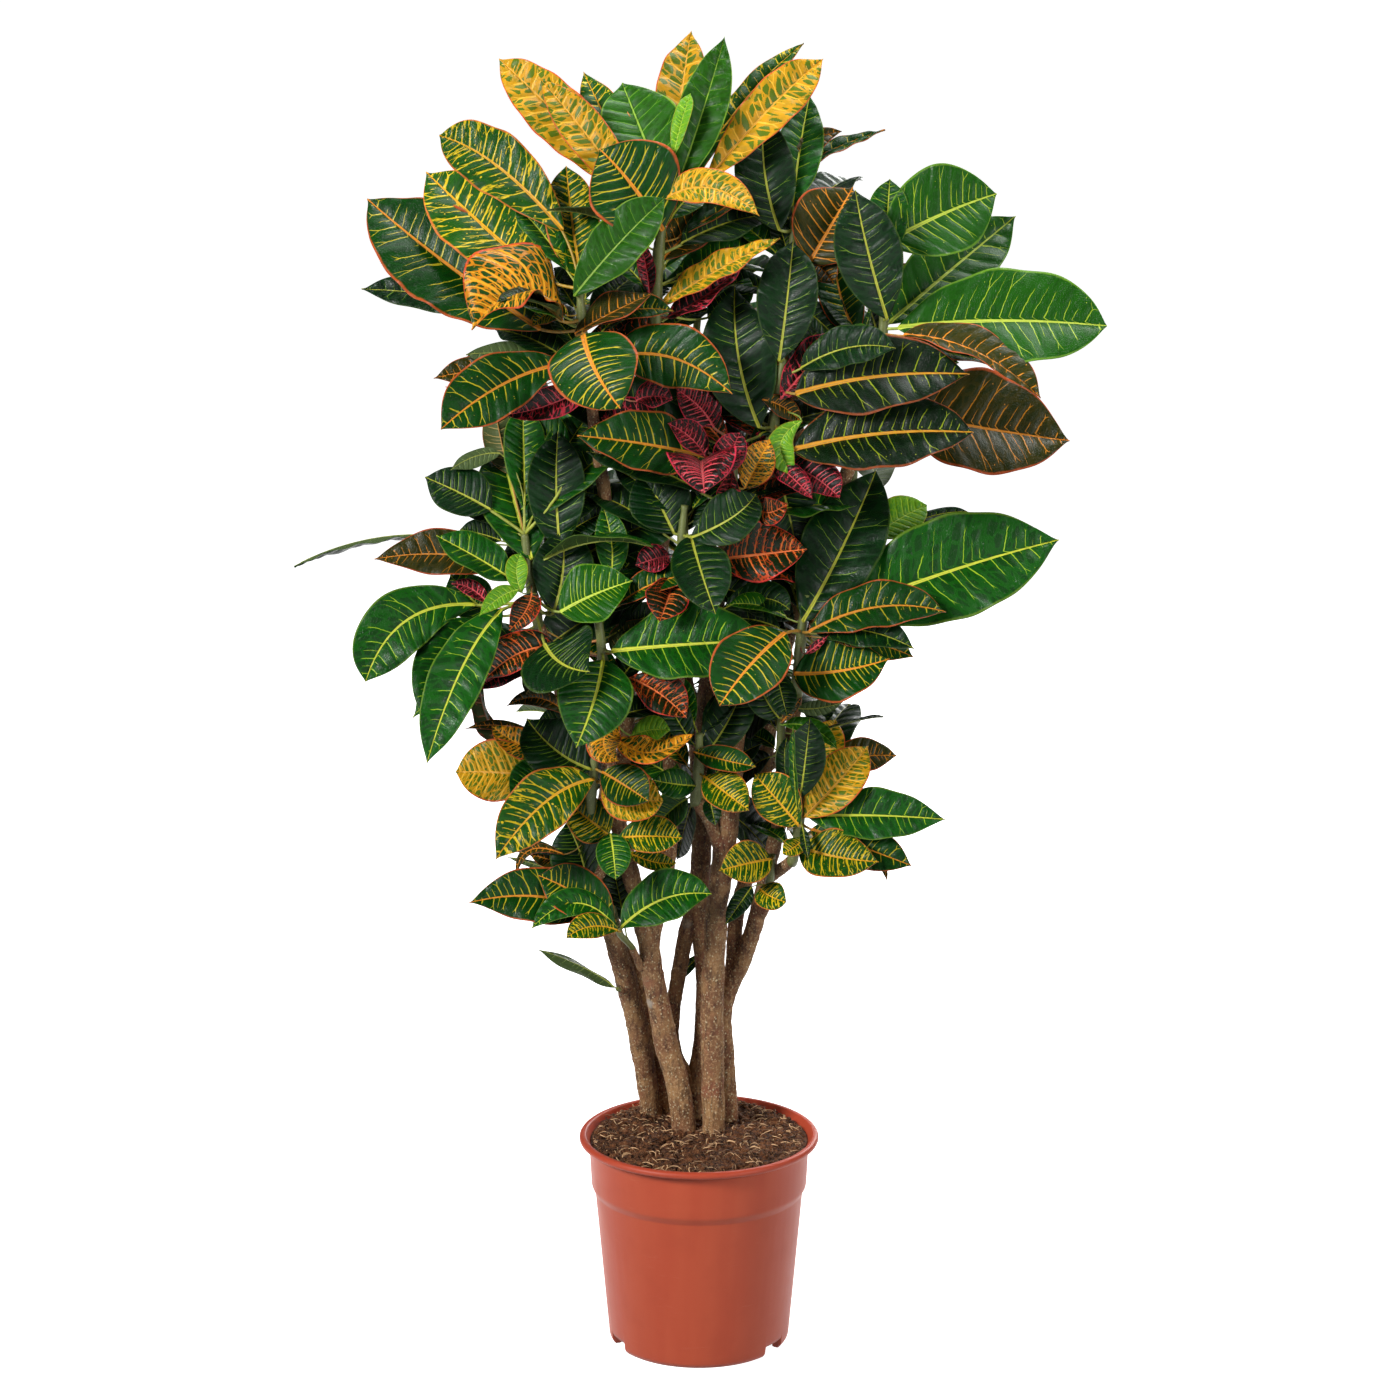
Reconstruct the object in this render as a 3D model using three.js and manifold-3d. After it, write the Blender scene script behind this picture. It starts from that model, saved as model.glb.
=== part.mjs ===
import * as THREE from "three";
import { mergeVertices } from "three/addons/utils/BufferGeometryUtils.js";
import Module from "manifold-3d";

const wasm = await Module();
wasm.setup();

// Millimetres, +Z up, the pot's axis on Z, its foot on z = 0, the front towards -Y.
// A place on the plant is given as [across, up, toward]: across and up are where it is seen against
// the upright plane through the pot's axis from EYE, toward is how far it stands in front of that plane.
const EYE = new THREE.Vector3(0, -3350, 1410);

function seen(across, up, toward) {
  const inPlane = new THREE.Vector3(across, 0, up);
  return inPlane.lerp(EYE, toward / -EYE.y);
}

// ---------------------------------------------------------------- pot and soil
const POT_SIDES = 32;
// [radius, height] from the centre foot out under the floor, round the foot ring, up the outside,
// over the lip and down inside.
const POT_PROFILE = [
  [0, 0], [14, 0], [16, 12], [79.5, 12], [81, 1], [82.5, 0], [87, 0], [90.4, 4], [103.4, 149], [107.2, 159],
  [109.8, 207], [118.6, 208.6], [120, 212], [118, 215], [113.5, 215], [112, 213.2],
  [107.2, 205], [104.6, 160.5], [101, 150.5], [88, 15.5], [0, 15.5],
];
// Notches in the foot ring: degrees from the front towards the right, and their size.
const NOTCHES = [56, -64, 176];
const NOTCH = { wide: 27, deep: 24, high: 11.5, radius: 86 };
// The filling, [radius, height] up the wall and in over its top, which is bumpy.
const SOIL_SIDES = 24;
const SOIL_PROFILE = [
  [0, 16], [87.2, 16], [100.3, 150.2], [103.9, 160.8], [106.4, 205.5], [84, 208.5], [54, 209], [26, 210],
  [0, 209.5],
];
const SOIL_TOP = 207;
const SOIL_BUMP = 1.8;

// ---------------------------------------------------------------- woody stems
// name: list of branches, each a list of [across, up, toward, radius]; a fork starts inside its parent.
const STEMS = {
  stem_left: [
    [
      [-47, 176, -68, 10.5], [-47, 226, -65, 11], [-52, 270, -58, 11], [-62, 330, -45, 11],
      [-79, 400, -25, 10.5], [-95, 460, -10, 10], [-106, 520, 0, 9.5], [-116, 590, -5, 8.5],
      [-134, 670, 0, 7.5], [-155, 731, 14, 6],
    ],
    [[-100, 474, -8, 8], [-101, 488, 3, 7.5], [-103, 498, 15, 7], [-104, 508, 22, 6.5]],
    [[-116, 600, -8, 6.5], [-124, 680, -60, 6.5], [-145, 790, -118, 6]],
    [[-106, 505, -4, 6], [-96, 540, -60, 6], [-92, 572, -108, 5.5]],
    [[-72, 362, -34, 5], [-76, 363, -26, 2.8], [-79, 364, -19, 2.4]],
    [
      [-30, 186, -76, 7], [-32, 222, -74, 7.5], [-39, 265, -67, 7.6], [-49, 320, -57, 7.6],
      [-60, 372, -44, 7.2], [-76, 415, -28, 6.5],
    ],
  ],
  stem_centre_left: [
    [
      [-13, 165, -26, 11.5], [-14, 212, -26, 12], [-22, 270, -22, 12], [-31, 300, -20, 11.5],
      [-38, 340, -16, 11.5], [-46, 380, -10, 11], [-50, 412, -6, 10.5], [-58, 440, -4, 9],
      [-69, 490, 0, 9], [-80, 540, 5, 8], [-88, 590, 18, 7], [-91, 618, 25, 6.5],
    ],
    [
      [-49, 405, -7, 9.5], [-42, 450, -8, 9.5], [-32, 500, -5, 9.5], [-28, 560, -5, 9],
      [-24, 640, -8, 8.5], [-18, 766, 9, 7],
    ],
    [
      [-78, 525, 3, 7.5], [-78, 570, -12, 7.5], [-70, 640, -22, 7.5], [-74, 740, -26, 7],
      [-88, 840, -18, 6.5], [-99, 920, 6, 6], [-104, 961, 24, 5.5],
    ],
    [[-57, 386, -6, 4.5], [-62, 398, 3, 3.4], [-66, 407, 13, 3.2]],
  ],
  stem_centre_back: [
    [
      [-4, 178, -55, 9.5], [-4, 222, -55, 10], [-4, 262, -51, 9.5], [0, 300, -48, 7.5],
      [2.5, 330, -46, 6.6], [3, 390, -42, 6.8], [-1, 440, -38, 9.5], [2, 500, -34, 10], [4, 560, -34, 9.5],
      [6, 650, -34, 9], [16, 740, -20, 8], [27, 826, 13, 6.5],
    ],
    [
      [-5, 256, -51, 8], [-14, 276, -48, 7.8], [-24, 298, -45, 7.6], [-27, 326, -43, 7.6],
      [-23, 362, -38, 7.6], [-15, 410, -35, 8], [-6, 452, -36, 7.5],
    ],
    [
      [4, 545, -36, 8.5], [-6, 640, -52, 8], [-30, 760, -54, 7.5], [-45, 860, -42, 7],
      [-44, 940, -16, 6.5], [-42, 996, -1, 6],
    ],
    [[6, 620, -38, 7], [12, 670, -96, 6.5], [10, 705, -142, 6]],
    [[-21, 370, -36, 4], [-23, 371, -46, 2.4], [-24, 372, -50, 2.2]],
    [[-36, 800, -52, 6], [-26, 880, -96, 6], [-10, 945, -142, 5.5]],
  ],
  stem_front: [
    [
      [16, 165, -17, 11], [15, 209, -17, 11.5], [14, 270, -14, 11.5], [13, 340, -10, 11.5],
      [15, 400, -6, 11], [18, 450, -2, 11], [24, 500, 2, 11], [31, 560, 6, 10.5], [36, 620, 0, 9],
      [44, 700, -10, 8], [58, 790, -14, 7.5], [66, 850, -8, 7], [68, 896, 4, 6],
    ],
    [[23, 505, 3, 7.5], [10, 538, 15, 6.5], [-2, 556, 24, 6]],
  ],
  stem_right: [
    [
      [30, 172, -47, 9.5], [30.5, 219, -47, 9.8], [27.5, 265, -45, 9.8], [26, 295, -43, 9.6],
      [23.5, 325, -41, 9.5], [24, 345, -40, 9.4], [31, 368, -37, 9.2], [43, 394, -32, 8.8],
      [56, 436, -24, 8.5], [64, 470, -20, 8], [74, 515, -16, 7.5], [84, 560, -20, 7.5],
      [90, 620, -12, 7], [95, 666, 18, 6],
    ],
    [
      [27, 352, -39, 8], [33, 385, -39, 7.6], [37, 440, -42, 7.5], [46, 480, -52, 8],
      [60, 560, -64, 8], [76, 680, -66, 7.5], [110, 800, -60, 7], [145, 890, -45, 6.5],
      [167, 956, -21, 6],
    ],
    [[69, 480, -18, 6.5], [82, 489, 6, 6], [91, 497, 23, 5.5]],
    [[60, 440, -24, 6], [65, 449, -9, 5], [66, 453, -1, 5]],
    [[76, 548, -62, 6.5], [80, 575, -30, 5.5], [79, 597, -1, 5]],
    [[108, 790, -60, 6.5], [100, 880, -72, 6], [89, 970, -60, 6], [84, 1036, -31, 5.5]],
    [[66, 590, -64, 6.5], [100, 625, -110, 6], [112, 645, -140, 5.5]],
    [[112, 800, -60, 6], [130, 830, -110, 6], [145, 860, -150, 5.5]],
  ],
};

// ---------------------------------------------------------------- leafy shoots
// key: name and green stem as [across, up, toward, radius]; its foot is set square on the nearest branch
// end.
const SHOOTS = {
  A: ["shoot_top", [[-42, 1000, 0, 6], [-40, 1060, 4, 5.5], [-35, 1120, 4, 4.5], [-27, 1178, 2, 3]]],
  B: ["shoot_upper_left", [[-104, 965, 25, 5.5], [-110, 1010, 30, 5], [-113, 1058, 30, 3.5]]],
  C: ["shoot_upper_right", [[168, 960, -20, 6], [174, 1010, -15, 5], [176, 1058, -16, 3.5]]],
  P: ["shoot_between_top_and_right", [[84, 1040, -30, 5.5], [88, 1085, -25, 4.5], [90, 1125, -25, 3.5]]],
  D: ["shoot_dark_right_of_centre", [[68, 900, 5, 6], [74, 950, 10, 5], [80, 990, 10, 3.5]]],
  E: ["shoot_red_centre", [[28, 830, 15, 6.5], [32, 880, 20, 5], [34, 915, 20, 3.5]]],
  Q: ["shoot_dark_left_of_centre", [[-18, 770, 10, 7], [-16, 815, 12, 5.5], [-14, 850, 12, 3.5]]],
  F: ["shoot_left_middle", [[-156, 735, 15, 6], [-164, 785, 20, 5], [-168, 822, 20, 3.5]]],
  G: ["shoot_centre_left_lower", [[-91, 620, 25, 6.3], [-94, 705, 40, 5], [-99, 748, 40, 3.5]]],
  H: ["shoot_right_middle", [[96, 670, 19, 6], [99, 722, 25, 5], [104, 762, 20, 3.5]]],
  I: [
    "shoot_lower_left",
    [[-104, 510, 23, 6.3], [-106, 547, 27, 5.5], [-104, 580, 32, 5], [-100, 614, 32, 3.5]],
  ],
  J: ["shoot_lower_right", [[93, 500, 25, 5.5], [99, 535, 32, 5], [101, 572, 32, 3.5]]],
  K: ["shoot_lowest_left", [[-68, 411, 17, 3.2], [-79, 424, 38, 3.2], [-85, 450, 34, 2.6]]],
  L: ["shoot_small_lower_right", [[66, 457, 2, 5], [70, 480, 8, 4], [72, 503, 8, 3]]],
  M: ["shoot_low_centre", [[-4, 560, 26, 6], [0, 595, 28, 5], [0, 625, 28, 3.5]]],
  N: ["shoot_small_right_of_centre", [[79, 601, 1, 5], [80, 635, 5, 4], [82, 662, 5, 3]]],
  U: ["shoot_back_top", [[-9, 949, -146, 5.5], [-4, 1000, -160, 4.5], [0, 1045, -165, 3.5]]],
  V: ["shoot_back_left", [[-146, 794, -120, 6], [-152, 850, -132, 5], [-154, 900, -136, 3.5]]],
  W: ["shoot_back_right", [[146, 864, -152, 5.5], [150, 915, -160, 4.5], [150, 955, -162, 3.5]]],
  X: ["shoot_back_centre", [[10, 709, -146, 6], [10, 760, -156, 5], [8, 805, -160, 3.5]]],
  Y: ["shoot_back_lower_left", [[-92, 576, -112, 5.5], [-92, 620, -124, 4.5], [-92, 660, -128, 3.5]]],
  Z: ["shoot_back_lower_right", [[113, 649, -143, 5.5], [116, 690, -150, 4.5], [116, 730, -152, 3.5]]],
  R: ["leaf_low_left", [[-79, 364, -18, 2.4], [-81, 365, -11, 2]]],
  T: ["leaf_low_centre", [[-24, 372, -51, 2.2], [-24, 373, -58, 2]]],
};

// ---------------------------------------------------------------- leaves
// [shoot, colour, base across, up, toward, midrib half way, ..., tip, ..., width, roll, fold]
const LEAVES = [
  ["A", "gold", -70, 1150, -10, -128, 1215, -20, -187, 1272, -35, 55, 0, 8],
  ["A", "gold", -66, 1148, 0, -108, 1205, 0, -149, 1254, -5, 42, 0, 10],
  ["A", "sun", -50, 1150, -15, -82, 1207, -22, -108, 1260, -35, 40, 0, 8],
  ["A", "fresh", -28, 1140, -5, -52, 1200, -12, -72, 1250, -20, 78, 0, 8],
  ["A", "gold", -22, 1160, -14, -17, 1232, -22, -7, 1298, -32, 50, 0, 8],
  ["A", "fresh", -22, 1150, 4, 3, 1222, 2, 24, 1293, -6, 46, 0, 12],
  ["A", "lime", -24, 1182, 8, -16, 1215, 14, -8, 1240, 10, 18, 20, 10],
  ["A", "orib", -34, 1112, 12, -64, 1156, 35, -94, 1189, 45, 92, 0, 8],
  ["A", "gold", -32, 1142, 14, 12, 1152, 28, 57, 1126, 38, 36, 0, 8],
  ["A", "lime", -12, 1150, -5, 38, 1228, -8, 98, 1286, -20, 20, 55, 10],
  ["A", "gold", 4, 1155, -8, 64, 1224, -18, 116, 1272, -32, 46, 0, 8],
  ["A", "orib", -20, 1105, -15, 92, 1172, -40, 175, 1206, -60, 26, 35, 8],
  ["A", "gold", -36, 1042, 12, 18, 1075, 30, 77, 1105, 42, 36, 30, 8],
  ["A", "red", -30, 1030, 8, 5, 1050, 18, 40, 1078, 24, 34, 20, 8],
  ["A", "green", 8, 1030, -20, 28, 1050, -22, 40, 1075, -25, 42, 0, 8],
  ["A", "red", -47, 1052, 10, -50, 1078, 14, -57, 1106, 16, 17, 0, 8],
  ["A", "olive", -34, 1085, -12, -8, 1112, -22, 25, 1136, -32, 40, 0, 8],
  ["A", "dark", -36, 1060, -20, 10, 1080, -35, 50, 1110, -50, 36, 0, 8],
  ["P", "dark", 76, 1112, -15, 62, 1166, -10, 61, 1221, -15, 58, 0, 8],
  ["P", "green", 88, 1135, -25, 95, 1190, -32, 104, 1239, -42, 45, 0, 8],
  ["P", "olive", 88, 1130, -30, 100, 1185, -42, 134, 1205, -52, 24, 0, 8],
  ["P", "olive", 103, 1080, -15, 124, 1116, -5, 145, 1153, -10, 76, 0, 8],
  ["P", "olive", 92, 1090, -30, 112, 1080, -20, 128, 1062, -12, 30, 0, 8],
  ["B", "orib", -150, 1018, 20, -235, 1078, 12, -313, 1142, -5, 97, 0, 8],
  ["B", "sun", -150, 1068, 15, -203, 1116, 0, -257, 1167, -15, 80, 0, 8],
  ["B", "sun", -128, 1112, 10, -190, 1173, -15, -244, 1201, -30, 60, 0, 8],
  ["B", "sun", -111, 1062, 24, -119, 1115, 14, -125, 1173, 4, 52, 0, 8],
  ["B", "fresh", -119, 1050, 34, -76, 1100, 50, -32, 1143, 62, 50, 0, 8],
  ["B", "fire", -130, 1026, 42, -172, 1050, 62, -216, 1018, 66, 88, -30, 30],
  ["B", "sun", -124, 1032, 48, -142, 1034, 52, -158, 1022, 54, 20, 0, 8],
  ["B", "sun", -110, 1014, 60, -99, 980, 95, -75, 943, 105, 84, 0, 8],
  ["B", "orib", -128, 986, 40, -188, 966, 48, -247, 923, 55, 60, 0, 8],
  ["B", "dark", -140, 990, 10, -180, 996, 5, -222, 995, 0, 26, 180, 8],
  ["B", "olive", -140, 975, 5, -200, 980, 0, -253, 972, -5, 30, 0, 8],
  ["B", "red", -150, 965, 0, -200, 962, 0, -242, 964, 0, 14, 0, 8],
  ["B", "red", -98, 970, 25, -140, 948, 30, -187, 937, 35, 30, 0, 8],
  ["B", "orib", -84, 990, 38, -26, 992, 48, 32, 957, 60, 60, 0, 8],
  ["B", "olive", -118, 1014, 42, -84, 1034, 50, -44, 1053, 48, 46, 40, 8],
  ["B", "dark", -150, 1030, -10, -240, 1050, -30, -320, 1057, -45, 36, 0, 8],
  ["B", "red", -60, 950, 35, -45, 955, 38, -25, 952, 40, 24, 0, 8],
  ["C", "dark", 179, 1028, -5, 160, 1092, 8, 147, 1151, 10, 64, 0, 8],
  ["C", "leaf", 172, 1098, -28, 228, 1127, -28, 281, 1147, -25, 88, 0, 8],
  ["C", "leaf", 180, 1024, -22, 236, 1073, -35, 299, 1126, -50, 70, 0, 8],
  ["C", "leaf", 188, 1020, -10, 285, 1027, 0, 388, 1022, 5, 90, 0, 8],
  ["C", "olive", 194, 1013, 0, 262, 998, 15, 326, 953, 20, 44, 25, 20],
  ["C", "fire", 172, 1042, -35, 190, 1064, -40, 214, 1083, -45, 30, 180, 8],
  ["C", "fresh", 166, 1000, 0, 158, 1012, 6, 148, 1024, 10, 16, 0, 8],
  ["C", "orib", 152, 1012, -25, 134, 1052, -28, 126, 1108, -35, 44, 0, 8],
  ["C", "dark", 158, 1004, -5, 160, 1024, -2, 166, 1046, 0, 12, 60, 8],
  ["C", "olive", 190, 940, -35, 268, 925, -45, 355, 912, -55, 100, 0, 8],
  ["D", "dark", 58, 924, 20, 38, 990, 25, 34, 1060, 20, 72, 0, 8],
  ["D", "dark", 76, 988, 12, 83, 1042, 8, 89, 1103, -2, 58, 0, 8],
  ["D", "red", 78, 952, 20, 106, 985, 22, 139, 1017, 20, 36, 0, 8],
  ["D", "orib", 92, 957, 25, 172, 974, 45, 258, 976, 55, 74, 0, 8],
  ["D", "orib", 90, 903, 35, 175, 919, 60, 263, 920, 72, 74, 0, 8],
  ["D", "olive", 60, 952, 30, 80, 945, 34, 99, 929, 38, 20, 0, 8],
  ["D", "lime", 99, 932, 40, 78, 908, 46, 93, 879, 50, 26, 0, 8],
  ["D", "red", 80, 948, 14, 95, 975, 10, 112, 1005, 4, 22, 0, 8],
  ["E", "orib", 8, 896, 35, -52, 909, 50, -117, 917, 58, 58, 0, 8],
  ["E", "red", 6, 896, 42, -8, 915, 46, -30, 929, 50, 26, 0, 8],
  ["E", "red", 20, 880, 44, 30, 900, 54, 39, 920, 58, 30, 0, 8],
  ["E", "fire", 44, 866, 48, 56, 890, 56, 68, 914, 60, 34, 0, 8],
  ["E", "red", 2, 892, 45, 3, 884, 68, 5, 861, 80, 66, 0, 15],
  ["E", "red", 70, 892, 30, 90, 876, 38, 109, 856, 44, 24, 0, 8],
  ["E", "red", 84, 890, 22, 112, 876, 26, 135, 857, 28, 36, 0, 8],
  ["E", "ember", 60, 845, 40, 70, 843, 46, 85, 852, 50, 26, 0, 8],
  ["E", "red", 14, 925, 20, 0, 945, 26, -22, 962, 30, 40, 0, 8],
  ["Q", "dark", -8, 818, 22, 32, 838, 34, 55, 861, 40, 50, 0, 8],
  ["Q", "dark", -24, 822, 14, -38, 852, 16, -53, 886, 14, 60, 0, 8],
  ["Q", "dark", -8, 820, 20, 2, 785, 38, 16, 743, 46, 56, 0, 8],
  ["Q", "ember", 22, 797, 20, 62, 802, 32, 104, 807, 38, 56, 0, 8],
  ["Q", "red", -28, 800, 24, -44, 797, 30, -61, 791, 34, 28, 0, 8],
  ["Q", "ember", -24, 778, 30, -30, 758, 46, -38, 736, 54, 42, 0, 12],
  ["Q", "dark", 24, 748, 22, 60, 759, 30, 88, 747, 34, 32, 0, 8],
  ["F", "green", -161, 796, 25, -177, 852, 30, -191, 914, 25, 68, 0, 8],
  ["F", "dark", -134, 808, 10, -137, 864, 8, -135, 922, 0, 56, 0, 8],
  ["F", "dark", -142, 742, 28, -131, 788, 34, -133, 829, 32, 60, 0, 8],
  ["F", "green", -180, 776, 36, -213, 798, 44, -253, 820, 46, 42, -15, 12],
  ["F", "olive", -182, 792, 18, -248, 802, 14, -313, 797, 8, 44, 0, 8],
  ["F", "dark", -205, 812, -5, -300, 819, -20, -391, 790, -30, 24, 115, 8],
  ["F", "green", -215, 752, 12, -283, 737, 22, -324, 676, 28, 62, 0, 8],
  ["F", "green", -200, 742, 5, -220, 758, 4, -240, 782, 0, 44, 0, 8],
  ["F", "red", -203, 752, 16, -220, 768, 20, -239, 773, 22, 16, 0, 8],
  ["F", "lime", -171, 764, 44, -176, 784, 48, -172, 803, 48, 22, 0, 8],
  ["F", "lime", -174, 767, 48, -192, 760, 54, -213, 741, 58, 18, 0, 8],
  ["F", "ember", -162, 764, 40, -168, 746, 46, -184, 727, 50, 26, 0, 8],
  ["F", "green", -190, 748, 40, -230, 690, 60, -266, 594, 66, 52, 0, 8],
  ["F", "green", -215, 738, 20, -250, 700, 24, -270, 642, 26, 46, 0, 8],
  ["F", "dark", -200, 845, 8, -230, 862, 4, -263, 877, 0, 50, 0, 8],
  ["F", "dark", -190, 900, -8, -214, 897, -10, -238, 884, -12, 20, 170, 8],
  ["F", "olive", -182, 880, -15, -190, 915, -18, -196, 950, -22, 34, 175, 8],
  ["F", "green", -125, 905, -10, -150, 918, -12, -178, 930, -15, 42, 0, 8],
  ["F", "dark", -190, 815, 0, -210, 822, -3, -230, 826, -5, 24, 0, 8],
  ["F", "dark", -150, 714, 50, -133, 694, 70, -106, 686, 85, 82, 0, 8],
  ["F", "fresh", -134, 745, 48, -102, 762, 58, -64, 776, 62, 56, 0, 8],
  ["G", "green", -93, 698, 55, -102, 658, 75, -120, 610, 82, 72, 0, 8],
  ["G", "green", -86, 778, 30, -84, 812, 28, -93, 851, 24, 32, 0, 8],
  ["G", "dark", -92, 775, 18, -97, 830, 14, -116, 865, 10, 34, 0, 8],
  ["G", "green", -86, 706, 52, -12, 713, 66, 66, 717, 72, 74, 0, 8],
  ["G", "ember", -138, 711, 40, -175, 704, 52, -207, 679, 56, 38, 0, 8],
  ["G", "red", -140, 704, 30, -180, 690, 34, -217, 668, 36, 26, 0, 8],
  ["G", "ember", -68, 680, 50, -38, 664, 58, -12, 640, 62, 38, 0, 8],
  ["G", "fire", -80, 645, 45, -93, 614, 52, -78, 597, 54, 34, 0, 8],
  ["G", "fire", -82, 622, 48, -48, 605, 60, -5, 624, 64, 32, 20, 8],
  ["G", "lime", -66, 622, 40, -48, 628, 46, -28, 628, 48, 26, 0, 8],
  ["G", "olive", -126, 642, 25, -156, 660, 28, -187, 652, 30, 18, 0, 8],
  ["G", "olive", -130, 705, 20, -150, 688, 22, -168, 664, 24, 32, 170, 8],
  ["G", "olive", -84, 705, 44, -70, 718, 40, -48, 738, 34, 34, 170, 8],
  ["H", "dark", 100, 735, 30, 137, 806, 36, 170, 884, 30, 78, 0, 8],
  ["H", "orib", 106, 725, 40, 172, 750, 60, 239, 745, 70, 46, 0, 8],
  ["H", "green", 120, 738, 28, 235, 783, 45, 347, 816, 50, 100, 0, 8],
  ["H", "orib", 84, 725, 48, 50, 693, 68, 20, 652, 76, 68, 0, 8],
  ["H", "orib", 92, 684, 40, 138, 687, 52, 185, 699, 58, 62, 0, 8],
  ["H", "lime", 168, 818, -52, 192, 836, -60, 219, 850, -66, 42, 0, 8],
  ["H", "dark", 170, 815, -70, 220, 838, -76, 259, 843, -82, 12, 0, 8],
  ["H", "olive", 130, 718, 44, 155, 714, 50, 180, 717, 54, 8, 0, 8],
  ["H", "red", 104, 704, 46, 114, 712, 48, 126, 723, 50, 8, 0, 8],
  ["H", "dark", 74, 690, 36, 80, 665, 44, 86, 642, 46, 28, 0, 8],
  ["H", "dark", 94, 650, 26, 116, 650, 28, 140, 656, 30, 14, 150, 8],
  ["I", "dark", -105, 588, 38, -140, 608, 44, -168, 640, 46, 62, 0, 8],
  ["I", "gold", -140, 579, 30, -190, 585, 28, -238, 586, 26, 60, 0, 8],
  ["I", "green", -128, 586, 34, -158, 578, 36, -185, 561, 38, 44, 0, 8],
  ["I", "fire", -140, 600, 20, -172, 612, 18, -202, 632, 14, 28, 0, 8],
  ["I", "red", -165, 600, 10, -203, 630, 6, -214, 690, 2, 24, 140, 8],
  ["I", "olive", -150, 618, 0, -190, 632, 0, -228, 629, -2, 10, 0, 8],
  ["I", "sun", -102, 578, 44, -150, 556, 62, -200, 497, 70, 58, 0, 8],
  ["I", "sun", -88, 523, 34, -108, 538, 38, -135, 560, 42, 46, 0, 8],
  ["I", "green", -87, 524, 46, -84, 502, 54, -82, 477, 58, 34, 0, 8],
  ["I", "sun", -80, 519, 48, -48, 521, 58, -16, 519, 64, 37, 0, 8],
  ["I", "sun", -70, 505, 10, -45, 495, 8, -22, 494, 6, 18, 0, 8],
  ["I", "dark", -111, 474, 30, -116, 503, 34, -130, 535, 36, 52, 30, 30],
  ["I", "dark", -128, 498, 20, -160, 511, 20, -193, 506, 20, 14, 50, 8],
  ["I", "olive", -132, 502, 24, -166, 507, 26, -180, 480, 28, 10, 0, 8],
  ["I", "olive", -116, 484, 22, -140, 495, 22, -166, 502, 22, 22, 0, 8],
  ["I", "dark", -124, 478, 4, -154, 490, 8, -188, 500, 10, 9, 170, 8],
  ["I", "orib", -95, 586, 44, -72, 572, 60, -49, 556, 68, 44, 0, 8],
  ["I", "gold", -92, 574, 40, -66, 560, 50, -35, 557, 56, 52, 0, 8],
  ["J", "fire", 99, 548, 36, 117, 597, 38, 133, 639, 34, 42, 0, 8],
  ["J", "fire", 103, 540, 42, 137, 577, 50, 165, 612, 50, 50, 0, 8],
  ["J", "olive", 118, 585, 20, 155, 600, 18, 193, 602, 16, 34, 0, 8],
  ["J", "dark", 99, 560, 24, 104, 600, 20, 108, 640, 14, 40, 0, 8],
  ["J", "green", 106, 541, 40, 172, 542, 52, 242, 538, 60, 50, 0, 8],
  ["J", "orib", 110, 528, 44, 155, 512, 52, 209, 491, 56, 44, 0, 8],
  ["J", "sun", 99, 510, 48, 135, 500, 62, 177, 495, 70, 50, 0, 8],
  ["J", "sun", 104, 520, 52, 95, 511, 60, 82, 503, 62, 20, 0, 8],
  ["J", "dark", 101, 532, 54, 104, 516, 60, 107, 499, 62, 10, 0, 8],
  ["J", "sun", 98, 531, 46, 77, 557, 54, 54, 584, 56, 46, 0, 8],
  ["J", "green", 97, 548, 28, 93, 590, 26, 92, 632, 22, 14, 60, 8],
  ["J", "dark", 94, 552, 20, 84, 590, 18, 86, 622, 16, 18, 0, 8],
  ["J", "olive", 165, 503, 40, 178, 495, 42, 185, 476, 44, 7, 0, 8],
  ["K", "orib", -100, 444, 42, -162, 460, 50, -227, 453, 54, 56, 0, 8],
  ["K", "orib", -84, 434, 48, -120, 462, 60, -158, 481, 64, 50, 0, 8],
  ["K", "green", -82, 428, 56, -122, 453, 70, -165, 427, 76, 28, 0, 8],
  ["K", "fire", -79, 424, 60, -106, 429, 74, -131, 417, 80, 26, 0, 8],
  ["K", "green", -77, 427, 50, -35, 457, 64, 13, 462, 72, 50, 0, 8],
  ["L", "sun", 72, 498, 20, 46, 493, 30, 20, 486, 34, 42, 0, 8],
  ["L", "sun", 60, 468, 18, 70, 460, 28, 86, 454, 32, 30, 0, 8],
  ["L", "dark", 52, 470, 10, 40, 452, 12, 26, 431, 14, 20, 0, 8],
  ["M", "sun", 4, 582, 38, 26, 565, 52, 49, 547, 58, 40, 0, 8],
  ["M", "orib", -6, 606, 36, 24, 598, 44, 56, 591, 48, 26, 0, 8],
  ["M", "green", -3, 572, 32, -24, 574, 38, -46, 578, 40, 30, 0, 8],
  ["M", "dark", 10, 560, 36, 13, 547, 42, 16, 532, 44, 18, 0, 8],
  ["M", "dark", 4, 600, 20, 30, 640, 22, 45, 680, 20, 44, 0, 8],
  ["M", "dark", -4, 612, 20, -22, 640, 22, -35, 668, 22, 30, 0, 8],
  ["N", "fresh", 82, 633, 30, 110, 630, 36, 135, 609, 40, 18, 0, 8],
  ["N", "olive", 81, 636, 28, 90, 648, 30, 100, 661, 30, 10, 0, 8],
  ["N", "dark", 110, 625, 0, 155, 638, -2, 180, 641, -4, 10, 60, 8],
  ["N", "dark", 78, 640, 15, 62, 665, 18, 50, 700, 16, 36, 0, 8],
  ["R", "dark", -84, 366, -9, -112, 385, -2, -158, 405, 8, 24, 140, 8],
  ["T", "dark", -24, 372, -62, -12, 386, -64, 6, 404, -66, 12, 0, 8],
];

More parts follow.
